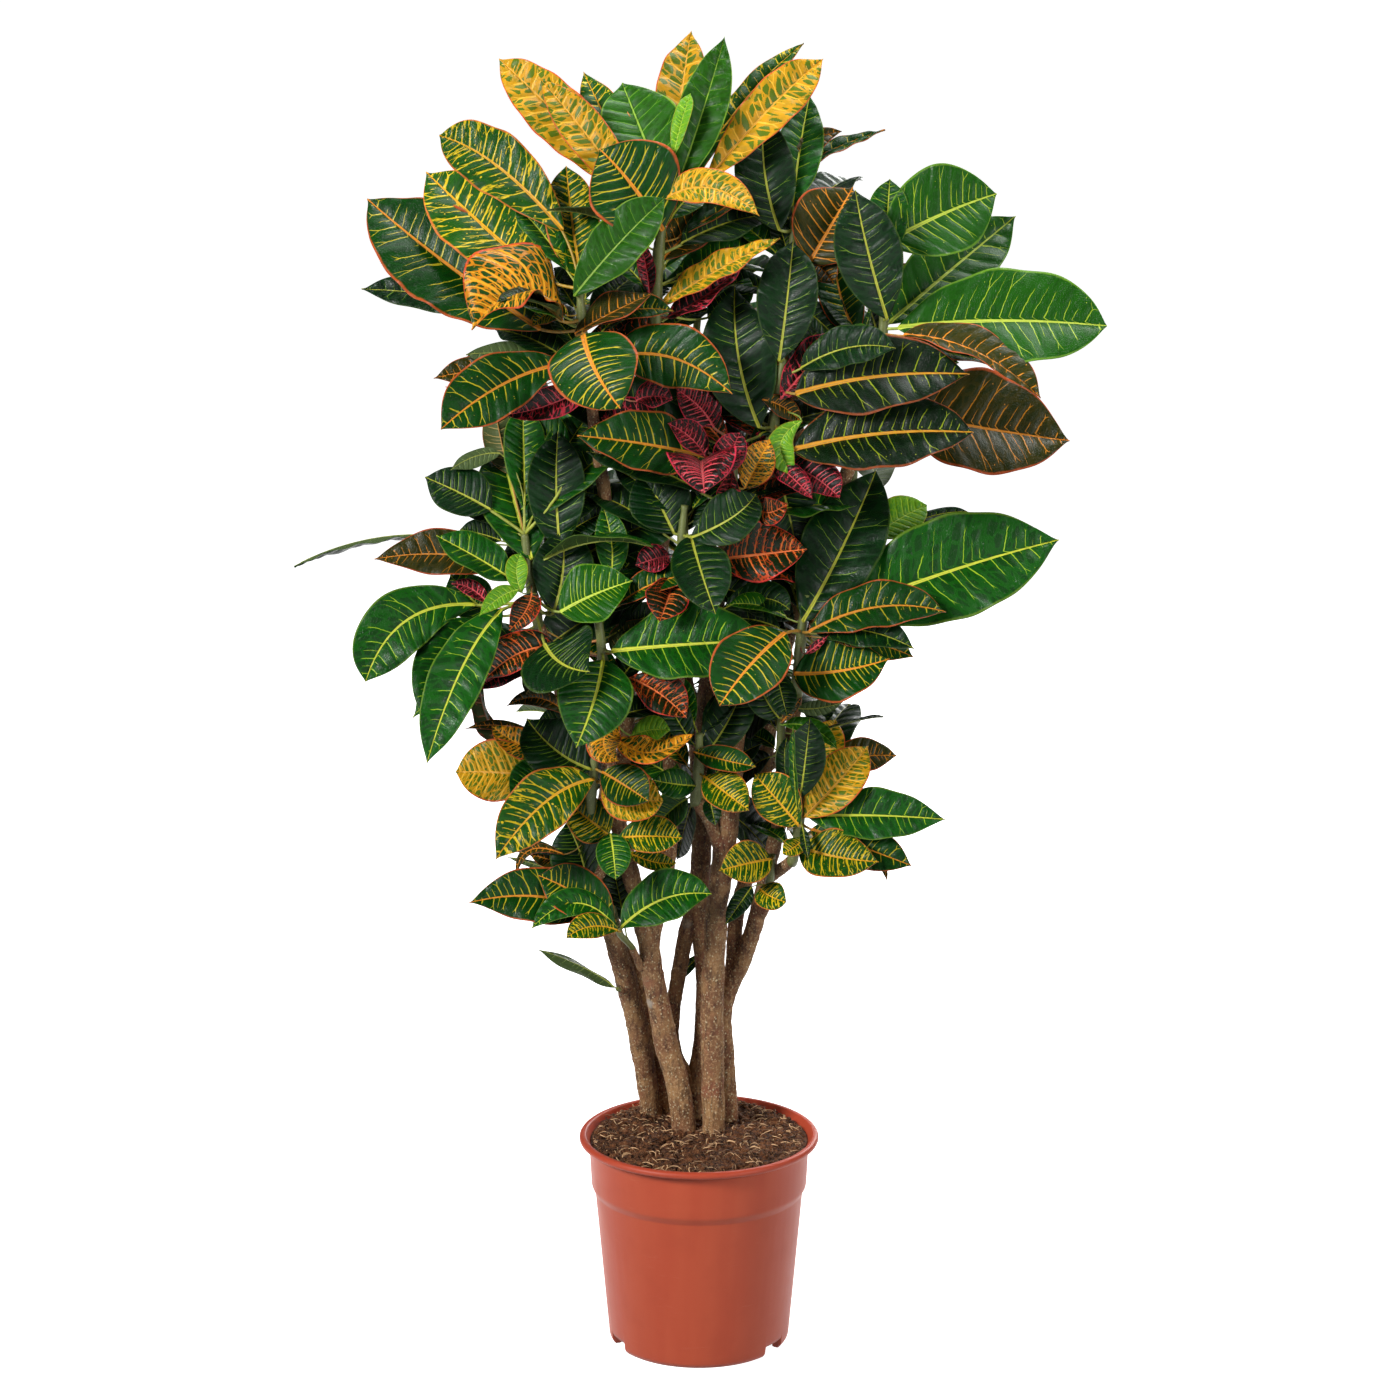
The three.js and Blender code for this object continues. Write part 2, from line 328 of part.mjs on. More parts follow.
// Leaves out of sight from the front, turned away from it: [shoot, how many].
const BEHIND = [
  ["A", 3], ["B", 3], ["C", 3], ["P", 2], ["D", 1], ["E", 1], ["F", 3], ["G", 1], ["H", 2], ["I", 2],
  ["J", 3], ["K", 1], ["L", 1], ["N", 1], ["U", 8], ["V", 8], ["W", 8], ["X", 7], ["Y", 7], ["Z", 7],
];
// How far the foliage reaches left and right of the axis, seen from the front: [up, left, right].
const OUTLINE = [
  [400, -110, 90], [500, -140, 130], [600, -165, 150], [700, -190, 165], [800, -190, 190], [900, -190, 190],
  [1000, -210, 220], [1100, -230, 225], [1200, -150, 110], [1290, -60, 40],
];
const BEHIND_KINDS = ["dark", "green", "sun", "orib", "leaf", "ember"];
// The mean colour of each kind of leaf.
const COLOURS = {
  gold: 0xc99a35, sun: 0x8f9a35, fresh: 0x6fa03a, lime: 0xa8b84a, orib: 0x4a4d22, red: 0x4f2a2c,
  ember: 0x54301f, green: 0x39602a, olive: 0x5d5a34, dark: 0x1f3520, leaf: 0x4a7a30, fire: 0xb0602a,
};
// A leaf that would pass through a neighbour is moved along the line of sight by the first of these
// that clears it.
const DEPTH_SHIFTS = [0, 9, -9, 18, -18, 28, -28, 40, -40, 54, -54, 70, -70, 88, -88, 110, -110];

// ---------------------------------------------------------------- solids and meshes
const radians = THREE.MathUtils.degToRad;

function manifoldOf(coordinates, triangles) {
  const vertProperties = new Float32Array(coordinates);
  const triVerts = new Uint32Array(triangles);
  return new wasm.Manifold(new wasm.Mesh({ numProp: 3, vertProperties, triVerts }));
}

function geometryOf(manifold) {
  const { vertProperties, triVerts } = manifold.getMesh();
  const geometry = new THREE.BufferGeometry();
  geometry.setAttribute("position", new THREE.BufferAttribute(vertProperties, 3));
  geometry.setIndex(new THREE.BufferAttribute(triVerts, 1));
  return geometry;
}

// Rings of equal length, each counter-clockwise seen from the one after it, skinned and closed by flat
// caps.
// `turned` lists the ring sides whose diagonal is the other one, so that both faces of a blade split alike.
function skin(rings, turned = []) {
  const n = rings[0].length;
  const triangles = [];
  for (let i = 0; i + 1 < rings.length; i++)
    for (let j = 0; j < n; j++) {
      const a = i * n + j;
      const b = i * n + ((j + 1) % n);
      if (turned.includes(j)) triangles.push(a, b, a + n, b, b + n, a + n);
      else triangles.push(a, b, b + n, a, b + n, a + n);
    }
  const last = (rings.length - 1) * n;
  for (let lo = 0, hi = n - 1; hi - lo > 1; ) {
    const next = (hi - lo) % 2 ? lo + 1 : hi - 1;
    triangles.push(hi, next, lo, last + lo, last + next, last + hi);
    if (next === lo + 1) lo = next;
    else hi = next;
  }
  return manifoldOf(rings.flat().flatMap((p) => p.toArray()), triangles);
}

// A path of [across, up, toward, radius] as centres with their radii.
function along(path) {
  return path.map(([across, up, toward, radius]) => ({ centre: seen(across, up, toward), radius }));
}

// The tapered stem through such stations.
function stemSolid(stations, sides, grow = 0) {
  const side = new THREE.Vector3(1, 0, 0);
  const rings = stations.map(({ centre, radius }, i) => {
    const ahead = stations[Math.min(i + 1, stations.length - 1)].centre;
    const way = ahead.clone().sub(stations[Math.max(i - 1, 0)].centre).normalize();
    side.addScaledVector(way, -side.dot(way)).normalize();
    const other = way.clone().cross(side);
    return Array.from({ length: sides }, (_, k) => {
      const angle = (2 * Math.PI * k) / sides;
      const out = side.clone().multiplyScalar(Math.cos(angle)).addScaledVector(other, Math.sin(angle));
      return centre.clone().addScaledVector(out, radius + grow);
    });
  });
  return skin(rings);
}

// A stem's trunk comes first in its list of paths and is rounder than its forks.
const sidesOf = (path, paths) => (path === paths[0] ? 7 : 6);

const FOOT_GAP = 0.4; // between a branch end and the shoot that stands on it
const FOOT_SQUARE = 3; // how far it goes straight on from there
const HOLE_GAP = 0.4; // round a stem in its hole in the soil
const LEAF_GAP = 0.3; // between a leaf and whatever it passes
const branchEnds = Object.values(STEMS).flat().map((path) => {
  const [before, last] = along(path.slice(-2));
  return { centre: last.centre, way: last.centre.clone().sub(before.centre).normalize() };
});

// The stations of a shoot's green stem, its foot square on the nearest branch end and just clear of it.
function greenStem(path) {
  const [foot, ...rest] = along(path);
  const away = (end) => end.centre.distanceTo(foot.centre);
  const end = branchEnds.reduce((a, b) => (away(b) < away(a) ? b : a));
  const standing = [FOOT_GAP, FOOT_SQUARE].map((rise) => ({
    centre: end.centre.clone().addScaledVector(end.way, rise),
    radius: foot.radius,
  }));
  return [...standing, ...rest];
}
const greenStems = {};
for (const [key, [, path]] of Object.entries(SHOOTS)) greenStems[key] = greenStem(path);

const STATIONS = { large: [0, 0.28, 0.68, 1], small: [0, 0.4, 0.76, 1] };
const LARGE = 50; // width from which a blade has a midrib line of its own
const THICK = 0.9;
const PETIOLE = { half: 1.7, thick: 2.4 };
const LEAN = { least: 0.3, most: 0.6 }; // how far back a leaf goes for each millimetre it rises
const SESSILE = 16; // a petiole shorter than this is one with the blade's first stretch
const NECK = { half: 1.9, thick: 2 }; // where the blade starts
const TIP_HALF = 1.2;
const WIDEST = 0.615; // the share of the midrib at which a blade is widest

// Half a blade's breadth at s along its midrib, as a share of its greatest half breadth.
const breadth = (s) => (s / WIDEST) ** 0.8 * ((1 - s) / (1 - WIDEST)) ** 0.5;

// At s along the midrib: the point, the way across the blade and the way its upper side faces.
function leafFrame({ base, middle, tip, face, roll }) {
  const control = middle.clone().multiplyScalar(2).addScaledVector(base, -0.5).addScaledVector(tip, -0.5);
  const midrib = new THREE.QuadraticBezierCurve3(base, control, tip);
  const flat = tip.clone().sub(base).cross(face).normalize();
  return (s) => {
    const way = midrib.getTangent(s);
    const across = flat.clone().addScaledVector(way, -flat.dot(way)).normalize();
    const up = across.clone().cross(way);
    across.applyAxisAngle(way, radians(-roll));
    up.applyAxisAngle(way, radians(-roll));
    return { point: midrib.getPoint(s), across, up };
  };
}

// A leaf closed all round, with its petiole or as its blade alone.
function leafSolid(leaf, { petiole, grow = 0 }) {
  const frame = leafFrame(leaf);
  const fold = radians(leaf.fold);
  const large = leaf.width >= LARGE;
  const ring = ({ point, across, up }, half, thick) => {
    const lifted = point.clone().addScaledVector(up, half * Math.sin(fold));
    const right = lifted.clone().addScaledVector(across, half * Math.cos(fold));
    const left = lifted.clone().addScaledVector(across, -half * Math.cos(fold));
    const line = large ? [left, point, right] : [left, right];
    const above = line.map((p) => p.clone().addScaledVector(up, thick / 2));
    const below = line.map((p) => p.clone().addScaledVector(up, -thick / 2));
    return [...above, ...below.reverse()];
  };
  const rings = [];
  const foot = { ...frame(0), point: leaf.root };
  if (petiole) rings.push(ring(foot, PETIOLE.half + grow, PETIOLE.thick + 2 * grow));
  const merged = petiole && leaf.root.distanceTo(leaf.base) < SESSILE;
  for (const s of (large ? STATIONS.large : STATIONS.small).slice(merged ? 1 : 0)) {
    const half = Math.max(s ? TIP_HALF : NECK.half, (leaf.width / 2) * breadth(s));
    rings.push(ring(frame(s), half + grow, (s ? THICK : NECK.thick) + 2 * grow));
  }
  return skin(rings, large ? [1, 3] : [2]);
}

const boxOf = (manifold) => {
  const { min, max } = manifold.boundingBox();
  return new THREE.Box3(new THREE.Vector3(...min), new THREE.Vector3(...max));
};
const LEAST_CROSSING = 1e-4; // cubic millimetres
const crossing = (a, b) => a.intersect(b).volume() > LEAST_CROSSING;

// The nearest place to a point on a green stem, from `lowest` tenths of its first long stretch up.
function rootOn(stations, point, lowest) {
  let best = null;
  for (let i = 1; i + 1 < stations.length; i++)
    for (let k = i > 1 ? 0 : lowest; k <= 10; k++) {
      const place = stations[i].centre.clone().lerp(stations[i + 1].centre, k / 10);
      if (!best || place.distanceTo(point) < best.distanceTo(point)) best = place;
    }
  return best;
}

// A leaf of the list, with its blade moved along the line of sight. Its upper side looks up as well as
// forward: a tip above the base leans back, one below it hangs forward. The width is listed as seen.
function leafSeen(row, shift) {
  const [shoot, , baseX, baseZ, baseT, midX, midZ, midT, tipX, tipZ, tipT, width, roll, fold] = row;
  const place = LEAVES.indexOf(row) % 5;
  const lean = LEAN.least + (LEAN.most - LEAN.least) * (place / 4);
  const base = seen(baseX, baseZ, baseT + 0.3 * shift);
  const middle = seen(midX, midZ, midT + lean * (baseZ - midZ) + 0.7 * shift);
  const tip = seen(tipX, tipZ, tipT + lean * (baseZ - tipZ) + shift);
  const sight = EYE.clone().sub(middle).normalize();
  const face = sight.clone().addScaledVector(new THREE.Vector3(0, 0, 1), lean).normalize();
  const across = tip.clone().sub(base).cross(face).normalize();
  return {
    base,
    middle,
    tip,
    root: rootOn(greenStems[shoot], base, 2.5 + place),
    face,
    width: width / Math.sqrt(1 - across.dot(sight) ** 2),
    roll,
    fold,
  };
}

// Whether a place, seen from the front, lies within the foliage.
function insideOutline(point) {
  const share = EYE.y / (EYE.y - point.y);
  const across = point.x * share;
  const up = EYE.z + (point.z - EYE.z) * share;
  const i = OUTLINE.findIndex(([above]) => above > up);
  if (i < 1) return false;
  const [[low, lowLeft, lowRight], [high, highLeft, highRight]] = OUTLINE.slice(i - 1);
  const part = (up - low) / (high - low);
  const { lerp } = THREE.MathUtils;
  return across > lerp(lowLeft, highLeft, part) && across < lerp(lowRight, highRight, part);
}

// The k-th hidden leaf of a shoot: turned away from the front by the golden angle, arching over.
function leafBehind(shoot, k, count, shift) {
  const serial = BEHIND.findIndex(([key]) => key === shoot) * 9 + k;
  const drawn = (m) => (serial * m) % 1;
  const spread = count > 4 ? 300 : 170;
  const turn = radians((drawn(0.618034) - 0.5) * spread + 0.7 * shift);
  const rise = radians(38 - (60 * (k + 0.5)) / count + 14 * drawn(0.414214));
  const length = 105 + 60 * drawn(0.732051);
  const height = 0.2 + 1.6 * (1 - (k + 0.5) / count);
  const joint = Math.floor(height);
  const [below, above] = greenStems[shoot].slice(joint + 1);
  const root = below.centre.clone().lerp(above.centre, Math.max(height - joint, 0.2));
  const level = Math.cos(rise);
  const run = new THREE.Vector3(Math.sin(turn) * level, Math.cos(turn) * level, Math.sin(rise));
  const base = root.clone().addScaledVector(run, 16);
  const tip = base.clone().addScaledVector(run, length);
  tip.z -= 0.16 * length;
  const middle = base.clone().lerp(tip, 0.5);
  middle.z += 0.1 * length;
  const face = new THREE.Vector3(0, 0, 1);
  const roll = 16 * (drawn(0.236068) - 0.5);
  return { base, middle, tip, root, face, width: 0.36 * length, roll, fold: 10 };
}

// ---------------------------------------------------------------- the object
const group = new THREE.Group();
const PLASTIC = new THREE.MeshStandardMaterial({ color: 0xb5583e, roughness: 0.5 });
const PEAT = new THREE.MeshStandardMaterial({ color: 0x3a281c, roughness: 1 });
const BARK = new THREE.MeshStandardMaterial({ color: 0x6e5140, roughness: 0.9 });

const SLIVER = 0.02; // what a join leaves narrower than this is closed up
function addMesh(name, manifold, material) {
  const mesh = new THREE.Mesh(geometryOf(manifold.asOriginal().simplify(SLIVER)), material);
  mesh.name = name;
  group.add(mesh);
}

const SAME_PLACE = 1e-3; // vertices nearer than this are one
// A three.js geometry as a solid, its doubled vertices merged.
function solidOf(geometry) {
  geometry.deleteAttribute("normal");
  geometry.deleteAttribute("uv");
  const merged = mergeVertices(geometry, SAME_PLACE);
  return manifoldOf(merged.attributes.position.array, merged.index.array);
}

function lathe(profile, sides) {
  const points = profile.map(([radius, height]) => new THREE.Vector2(radius, height));
  return new THREE.LatheGeometry(points, sides).rotateX(Math.PI / 2);
}

function pot() {
  let body = solidOf(lathe(POT_PROFILE, POT_SIDES));
  for (const degrees of NOTCHES) {
    const notch = new THREE.BoxGeometry(NOTCH.wide, NOTCH.deep, 2 * NOTCH.high);
    notch.translate(0, -NOTCH.radius, 0).rotateZ(radians(degrees));
    body = body.subtract(solidOf(notch));
  }
  return body;
}

function soil() {
  const filling = lathe(SOIL_PROFILE, SOIL_SIDES);
  const position = filling.attributes.position;
  for (let i = 0; i < position.count; i++) {
    const [x, y, z] = [position.getX(i), position.getY(i), position.getZ(i)];
    const bump = SOIL_BUMP * Math.sin(0.11 * x + 1) * Math.cos(0.13 * y);
    if (z > SOIL_TOP && Math.hypot(x, y) > 1) position.setZ(i, z + bump);
  }
  let body = solidOf(filling);
  for (const paths of Object.values(STEMS))
    for (const path of paths) {
      if (path[0][1] > SOIL_TOP) continue;
      const foot = along(path.slice(0, 3));
      foot[0].centre.z -= 1;
      body = body.subtract(stemSolid(foot, sidesOf(path, paths), HOLE_GAP));
    }
  return body;
}

const SHOOT_SIDES = 5;
addMesh("pot", pot(), PLASTIC);
addMesh("soil", soil(), PEAT);

const placed = []; // every solid so far: its node, its box and, for a leaf, its blade alone
for (const [name, paths] of Object.entries(STEMS)) {
  const branches = paths.map((path) => stemSolid(along(path), sidesOf(path, paths)));
  const whole = branches.reduce((a, b) => a.add(b));
  placed.push({ node: name, whole, box: boxOf(whole) });
  addMesh(name, whole, BARK);
}

const shoots = {}; // by shoot: its solids
const kinds = {}; // by shoot: the kinds of its leaves
for (const [key, [name]] of Object.entries(SHOOTS)) {
  kinds[key] = [];
  const whole = stemSolid(greenStems[key], SHOOT_SIDES);
  shoots[key] = [whole];
  placed.push({ node: name, whole, box: boxOf(whole) });
}

// Adds a leaf at the first shift that is clear of the other nodes and of its own shoot's blades.
// A leaf of the list falls back on touching its own shoot's blades, a hidden one is left out.
function grow(key, kind, leafAt, hidden) {
  const node = SHOOTS[key][0];
  let fallback = null;
  for (const shift of DEPTH_SHIFTS) {
    const leaf = leafAt(shift);
    if (hidden && !insideOutline(leaf.tip)) continue;
    const wide = leafSolid(leaf, { petiole: true, grow: LEAF_GAP });
    const box = boxOf(wide);
    const near = placed.filter((other) => box.intersectsBox(other.box));
    if (near.some((other) => other.node !== node && crossing(other.whole, wide))) continue;
    const blade = leafSolid(leaf, { petiole: false, grow: LEAF_GAP });
    const siblings = near.filter((other) => other.node === node && other.blade);
    const touches = siblings.some((other) => crossing(other.blade, blade));
    fallback ??= leaf;
    if (touches) continue;
    fallback = leaf;
    fallback.clear = true;
    break;
  }
  if (!fallback || (hidden && !fallback.clear)) return;
  const whole = leafSolid(fallback, { petiole: true });
  shoots[key].push(whole);
  kinds[key].push(kind);
  placed.push({ node, whole, blade: leafSolid(fallback, { petiole: false }), box: boxOf(whole) });
}
for (const row of LEAVES) grow(row[0], row[1], (shift) => leafSeen(row, shift), false);
for (const [key, count] of BEHIND)
  for (let k = 0; k < count; k++) {
    const kind = BEHIND_KINDS[k % BEHIND_KINDS.length];
    grow(key, kind, (shift) => leafBehind(key, k, count, shift), true);
  }

for (const [key, [name]] of Object.entries(SHOOTS)) {
  const whole = shoots[key].reduce((a, b) => a.add(b));
  const [body] = whole.decompose().sort((a, b) => b.volume() - a.volume());
  const color = new THREE.Color(0);
  for (const kind of kinds[key]) color.add(new THREE.Color(COLOURS[kind]));
  color.multiplyScalar(1 / kinds[key].length);
  addMesh(name, body, new THREE.MeshStandardMaterial({ color, roughness: 0.4 }));
}

export default group;
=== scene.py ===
# %% [markdown]
# # A potted croton, dressed
# The packed part is a plain model of the plant: a pot, its filling, five woody stems and the leafy shoots
# on their ends. Here every one of those solids is replaced by a finer surface of the same form and
# given a finish. Blender counts in metres, the tables below in millimetres, so `MM` turns one into the other.

# %% Load the packed part
import bpy
import numpy as np
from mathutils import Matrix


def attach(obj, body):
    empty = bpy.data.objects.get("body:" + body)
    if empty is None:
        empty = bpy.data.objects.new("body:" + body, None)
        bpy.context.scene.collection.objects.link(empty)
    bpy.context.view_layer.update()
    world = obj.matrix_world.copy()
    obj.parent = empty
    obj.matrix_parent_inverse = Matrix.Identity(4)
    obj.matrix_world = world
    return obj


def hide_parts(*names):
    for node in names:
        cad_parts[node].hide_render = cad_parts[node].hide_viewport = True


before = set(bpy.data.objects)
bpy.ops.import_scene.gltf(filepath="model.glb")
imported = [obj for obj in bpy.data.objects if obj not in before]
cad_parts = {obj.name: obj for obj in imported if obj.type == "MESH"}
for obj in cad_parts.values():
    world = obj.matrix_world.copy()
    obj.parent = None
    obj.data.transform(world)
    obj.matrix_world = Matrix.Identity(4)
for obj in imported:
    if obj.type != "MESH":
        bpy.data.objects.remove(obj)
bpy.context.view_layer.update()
MM = 0.001

# %% [markdown]
# ## The camera
# The photograph looks slightly down from 1.4 metres up and more than three metres away, so the pot's rim is
# seen as a flat ellipse. Such a distance asks for a long lens. The camera stands where the photograph was
# taken from, and the same point is used below to place the leaves.

# %% Camera
EYE = np.array([0.0, -3350.0, 1410.0])
LENS = 90.77
LOOKS_DOWN = 12.65
PIXEL = 1 / 1400
camera_data = bpy.data.cameras.new("camera")
camera_data.lens = LENS
camera_data.sensor_width = 36
camera_data.shift_x = PIXEL
camera = bpy.data.objects.new("camera", camera_data)
camera.location = EYE * MM
camera.rotation_euler = (np.radians(90 - LOOKS_DOWN), 0, 0)
bpy.context.scene.collection.objects.link(camera)
bpy.context.scene.camera = camera
print("camera", [round(v, 2) for v in camera.location])

# %% [markdown]
# ## Expressions that build nodes
# A finish is a sum of small masks: veins, speckles, stains. Wiring each sum by hand is slow to read, so a
# socket is wrapped in a class whose operators add the Math node for it.

# %% A socket with arithmetic
class Socket:
    """One output of a node. a + b, a * b and the rest add a Math node and give back its output."""

    def __init__(self, wiring, output):
        self.wiring, self.output = wiring, output

    def math(self, operation, *values):
        return self.wiring.node("Math", {"operation": operation}, dict(enumerate((self, *values))))

    def __add__(self, other): return self.math("ADD", other)
    def __sub__(self, other): return self.math("SUBTRACT", other)
    def __rsub__(self, other): return self.wiring.node("Math", {"operation": "SUBTRACT"}, {0: other, 1: self})
    def __mul__(self, other): return self.math("MULTIPLY", other)
    def __truediv__(self, other): return self.math("DIVIDE", other)
    __radd__, __rmul__ = __add__, __mul__

    def __abs__(self): return self.math("ABSOLUTE")
    def part(self): return self.math("FRACT")
    def larger(self, other): return self.math("MAXIMUM", other)

    def other(self, name):
        """Another output of the same node, by name or number."""
        return Socket(self.wiring, self.output.node.outputs[name])

    def above(self, low, high):
        """0 below low, 1 above high, a soft step between; with low over high it runs the other way."""
        settings = {"interpolation_type": "SMOOTHSTEP"}
        if low < high:
            return self.wiring.node("MapRange", settings, {"Value": self, "From Min": low, "From Max": high})
        return 1 - self.wiring.node("MapRange", settings, {"Value": self, "From Min": high, "From Max": low})


print("a socket knows:", [name for name in vars(Socket) if not name.startswith("__")])

# %% [markdown]
# ## The nodes of one finish
# `Wiring` holds the nodes of a material, or of the room. Its `node` makes any of them: the settings come
# first, because they decide which sockets a node has, then the values or links. The other methods are the
# few nodes that almost every finish here needs, with their sizes in millimetres.

# %% Nodes by their kind
class Wiring:
    """The nodes of one new material, or of the world that is given in its place."""

    def __init__(self, name, world=None):
        self.block = world or bpy.data.materials.new(name)
        self.block.use_nodes = True
        self.tree = self.block.node_tree

    def node(self, kind, settings=None, inputs=None, output=0):
        """A ShaderNode of that kind, settings set first, then sockets by name or number."""
        made = self.tree.nodes.new("ShaderNode" + kind)
        for name, value in (settings or {}).items():
            setattr(made, name, value)
        for name, value in (inputs or {}).items():
            self.feed(made.inputs[name], value)
        return Socket(self, made.outputs[output])

    def feed(self, socket, value):
        """Links the socket to another one, or sets it. A word is a colour in hexadecimal digits."""
        if isinstance(value, Socket):
            self.tree.links.new(value.output, socket)
        else:
            socket.default_value = rgb(value) if isinstance(value, str) else value

    def mix(self, share, first, second):
        """Colour first, turned into second where share is 1."""
        sockets = {"Factor": share, "A": first, "B": second}
        made = self.tree.nodes.new("ShaderNodeMix")
        made.data_type = "RGBA"
        for socket in made.inputs:
            if socket.enabled and socket.name in sockets:
                self.feed(socket, sockets[socket.name])
        return Socket(self, next(socket for socket in made.outputs if socket.enabled))

    def layered(self, color, *layers):
        """The colour with others laid over it in turn, each layer its share and its colour."""
        for share, laid in layers:
            color = self.mix(share, color, laid)
        return color

    def place(self, scale=(1, 1, 1)):
        """Object coordinates in millimetres, stretched by scale."""
        coordinates = self.node("TexCoord", output="Object")
        return self.stretch(coordinates, [factor / MM for factor in scale])

    def stretch(self, vector, scale):
        return self.node("VectorMath", {"operation": "MULTIPLY"}, {0: vector, 1: scale})

    def stored(self, name, output="Vector"):
        """The value of that name kept at the mesh's points."""
        return self.node("Attribute", {"attribute_name": name}, output=output)

    def noise(self, vector, size, detail=3.0, rough=0.55):
        """Cloudy noise of that grain size, in the vector's own units, around a half."""
        inputs = {"Vector": vector, "Scale": 1 / size, "Detail": detail, "Roughness": rough}
        return self.node("TexNoise", None, inputs)

    def cells(self, vector, size, feature="F1", output="Distance"):
        """Voronoi cells of that size: the distance to the nearest centre or edge."""
        return self.node("TexVoronoi", {"feature": feature}, {"Vector": vector, "Scale": 1 / size}, output)

    def bump(self, height, depth, normal=None):
        """A normal tilted by a height of 0 to 1 standing for that depth in millimetres."""
        inputs = {"Height": height, "Distance": depth * MM, "Strength": 1.0}
        if normal:
            inputs["Normal"] = normal
        return self.node("Bump", None, inputs)

    def finish(self, **sockets):
        """Sets the shader's sockets, Base_Color and the like, and gives the material."""
        for name, value in sockets.items():
            self.feed(self.tree.nodes["Principled BSDF"].inputs[name.replace("_", " ")], value)
        return self.block


def rgb(code):
    """A colour written as six hexadecimal digits, made linear as Blender wants it."""
    channels = np.array([int(code[i : i + 2], 16) for i in (0, 2, 4)]) / 255
    linear = np.where(channels < 0.04045, channels / 12.92, ((channels + 0.055) / 1.055) ** 2.4)
    return (*linear.tolist(), 1.0)


print("pot colour made linear:", np.round(rgb("a8442a"), 3))

# %% [markdown]
# ## Surfaces from grids
# Every piece is made of rings: rows of points that close on themselves, one row after another along a path
# or up a profile. A `Sheaf` collects such grids and their per-point values, joins neighbours with quads and
# closes both ends with a small fan, then hands everything to one mesh at once.

# %% Rings into meshes
class Sheaf:
    """Grids of rings gathered into one mesh, with a value of each attribute at every point."""

    def __init__(self):
        self.points, self.quads, self.fans, self.values, self.stuffs = [], [], [], [], []
        self.count = 0

    def add(self, rings, stuff=0, **values):
        """rings has rows, columns and x y z. The last column joins the first, the end rows are closed by a
        fan to their middle. stuff is the number of the material. A value is one for all or one a point."""
        rows, columns = rings.shape[:2]
        ends = rings[[0, -1]].mean(1)
        self.points.append(np.vstack([rings.reshape(-1, 3), ends]))
        row, column = np.meshgrid(np.arange(rows - 1), np.arange(columns), indexing="ij")
        here, beside = row * columns + column, row * columns + (column + 1) % columns
        quads = np.stack([here, beside, beside + columns, here + columns], -1).reshape(-1, 4)
        first = np.arange(columns)
        second = (first + 1) % columns
        low = np.stack([second, first, np.full(columns, rows * columns)], -1)
        high = np.stack([first, second, np.full(columns, rows * columns + 1)], -1)
        high[:, :2] += (rows - 1) * columns
        self.quads.append(quads + self.count)
        self.fans.append(np.vstack([low, high]) + self.count)
        self.stuffs += [np.full(len(quads), stuff), np.full(2 * columns, stuff)]
        spread = {}
        for name, value in values.items():
            value = np.asarray(value, float)
            if value.ndim == 1:
                value = np.broadcast_to(value, (rows, columns, len(value)))
            flat = value.reshape(rows * columns, -1)
            tips = value[[0, -1]].mean(1).reshape(2, -1)
            spread[name] = np.vstack([flat, tips])
        self.values.append(spread)
        self.count += rows * columns + 2

    def mesh(self, name, *materials):
        """The mesh, its object at the origin, smooth, with one attribute for each kind of value."""
        mesh = bpy.data.meshes.new(name)
        quads, fans = np.vstack(self.quads), np.vstack(self.fans)
        mesh.from_pydata((np.vstack(self.points) * MM).tolist(), [], quads.tolist() + fans.tolist())
        mesh.polygons.foreach_set("use_smooth", np.ones(len(mesh.polygons), bool))
        for material in materials:
            mesh.materials.append(material)
        order = np.concatenate(self.stuffs[0::2] + self.stuffs[1::2])
        mesh.polygons.foreach_set("material_index", order.astype(np.int32))
        for label in self.values[0]:
            data = np.vstack([group[label] for group in self.values])
            kind, field = ("FLOAT_COLOR", "color") if data.shape[1] == 4 else ("FLOAT_VECTOR", "vector")
            mesh.attributes.new(label, kind, "POINT").data.foreach_set(field, data.ravel().astype(np.float32))
        mesh.validate()
        piece = bpy.data.objects.new(name, mesh)
        bpy.context.scene.collection.objects.link(piece)
        return piece


print("a new sheaf has", Sheaf().count, "points")


def dress(piece, node):
    """Fixes the piece to the part: it rides on the one body and stands for its solid."""
    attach(piece, "root")
    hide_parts(node)
    print(piece.name, len(piece.data.polygons), "faces")


# %% [markdown]
# ## The pot
# A nursery pot is injection-moulded plastic: one thin wall with a rolled lip, a collar, a step, a slightly
# tapering body and a foot ring with notches that let water out. It could be a spun profile with modifiers.
# Here it is one function of the angle and of the way along the profile, so the notches are no cuts:
# wherever the angle falls in a notch, the foot's lowest points are lifted.

# %% The pot's profile
# Radius and height in mm: up the outside from the middle of the floor, over the lip and down the inside.
POT_PROFILE = np.array([
    [0.5, 0], [14, 0], [16, 12], [79.5, 12], [81, 1], [82.5, 0], [87, 0], [90.4, 4], [104, 156], [107.7, 163],
    [109.8, 207], [118.6, 208.6], [120, 212], [118, 215], [113.5, 215], [112, 213.2],
    [107.2, 205], [104.6, 160.5], [101, 150.5], [88, 15.5], [0.5, 15.5],
])
ROUNDING = np.array([0, 1, 1, 1, .5, .8, .8, 3, 1.2, 2.5, 1.6, 1.6, 1.6, 1.6, 1.2, 1.2, 2, 3, 3, 2, 0])
LONGEST_STEP = 9


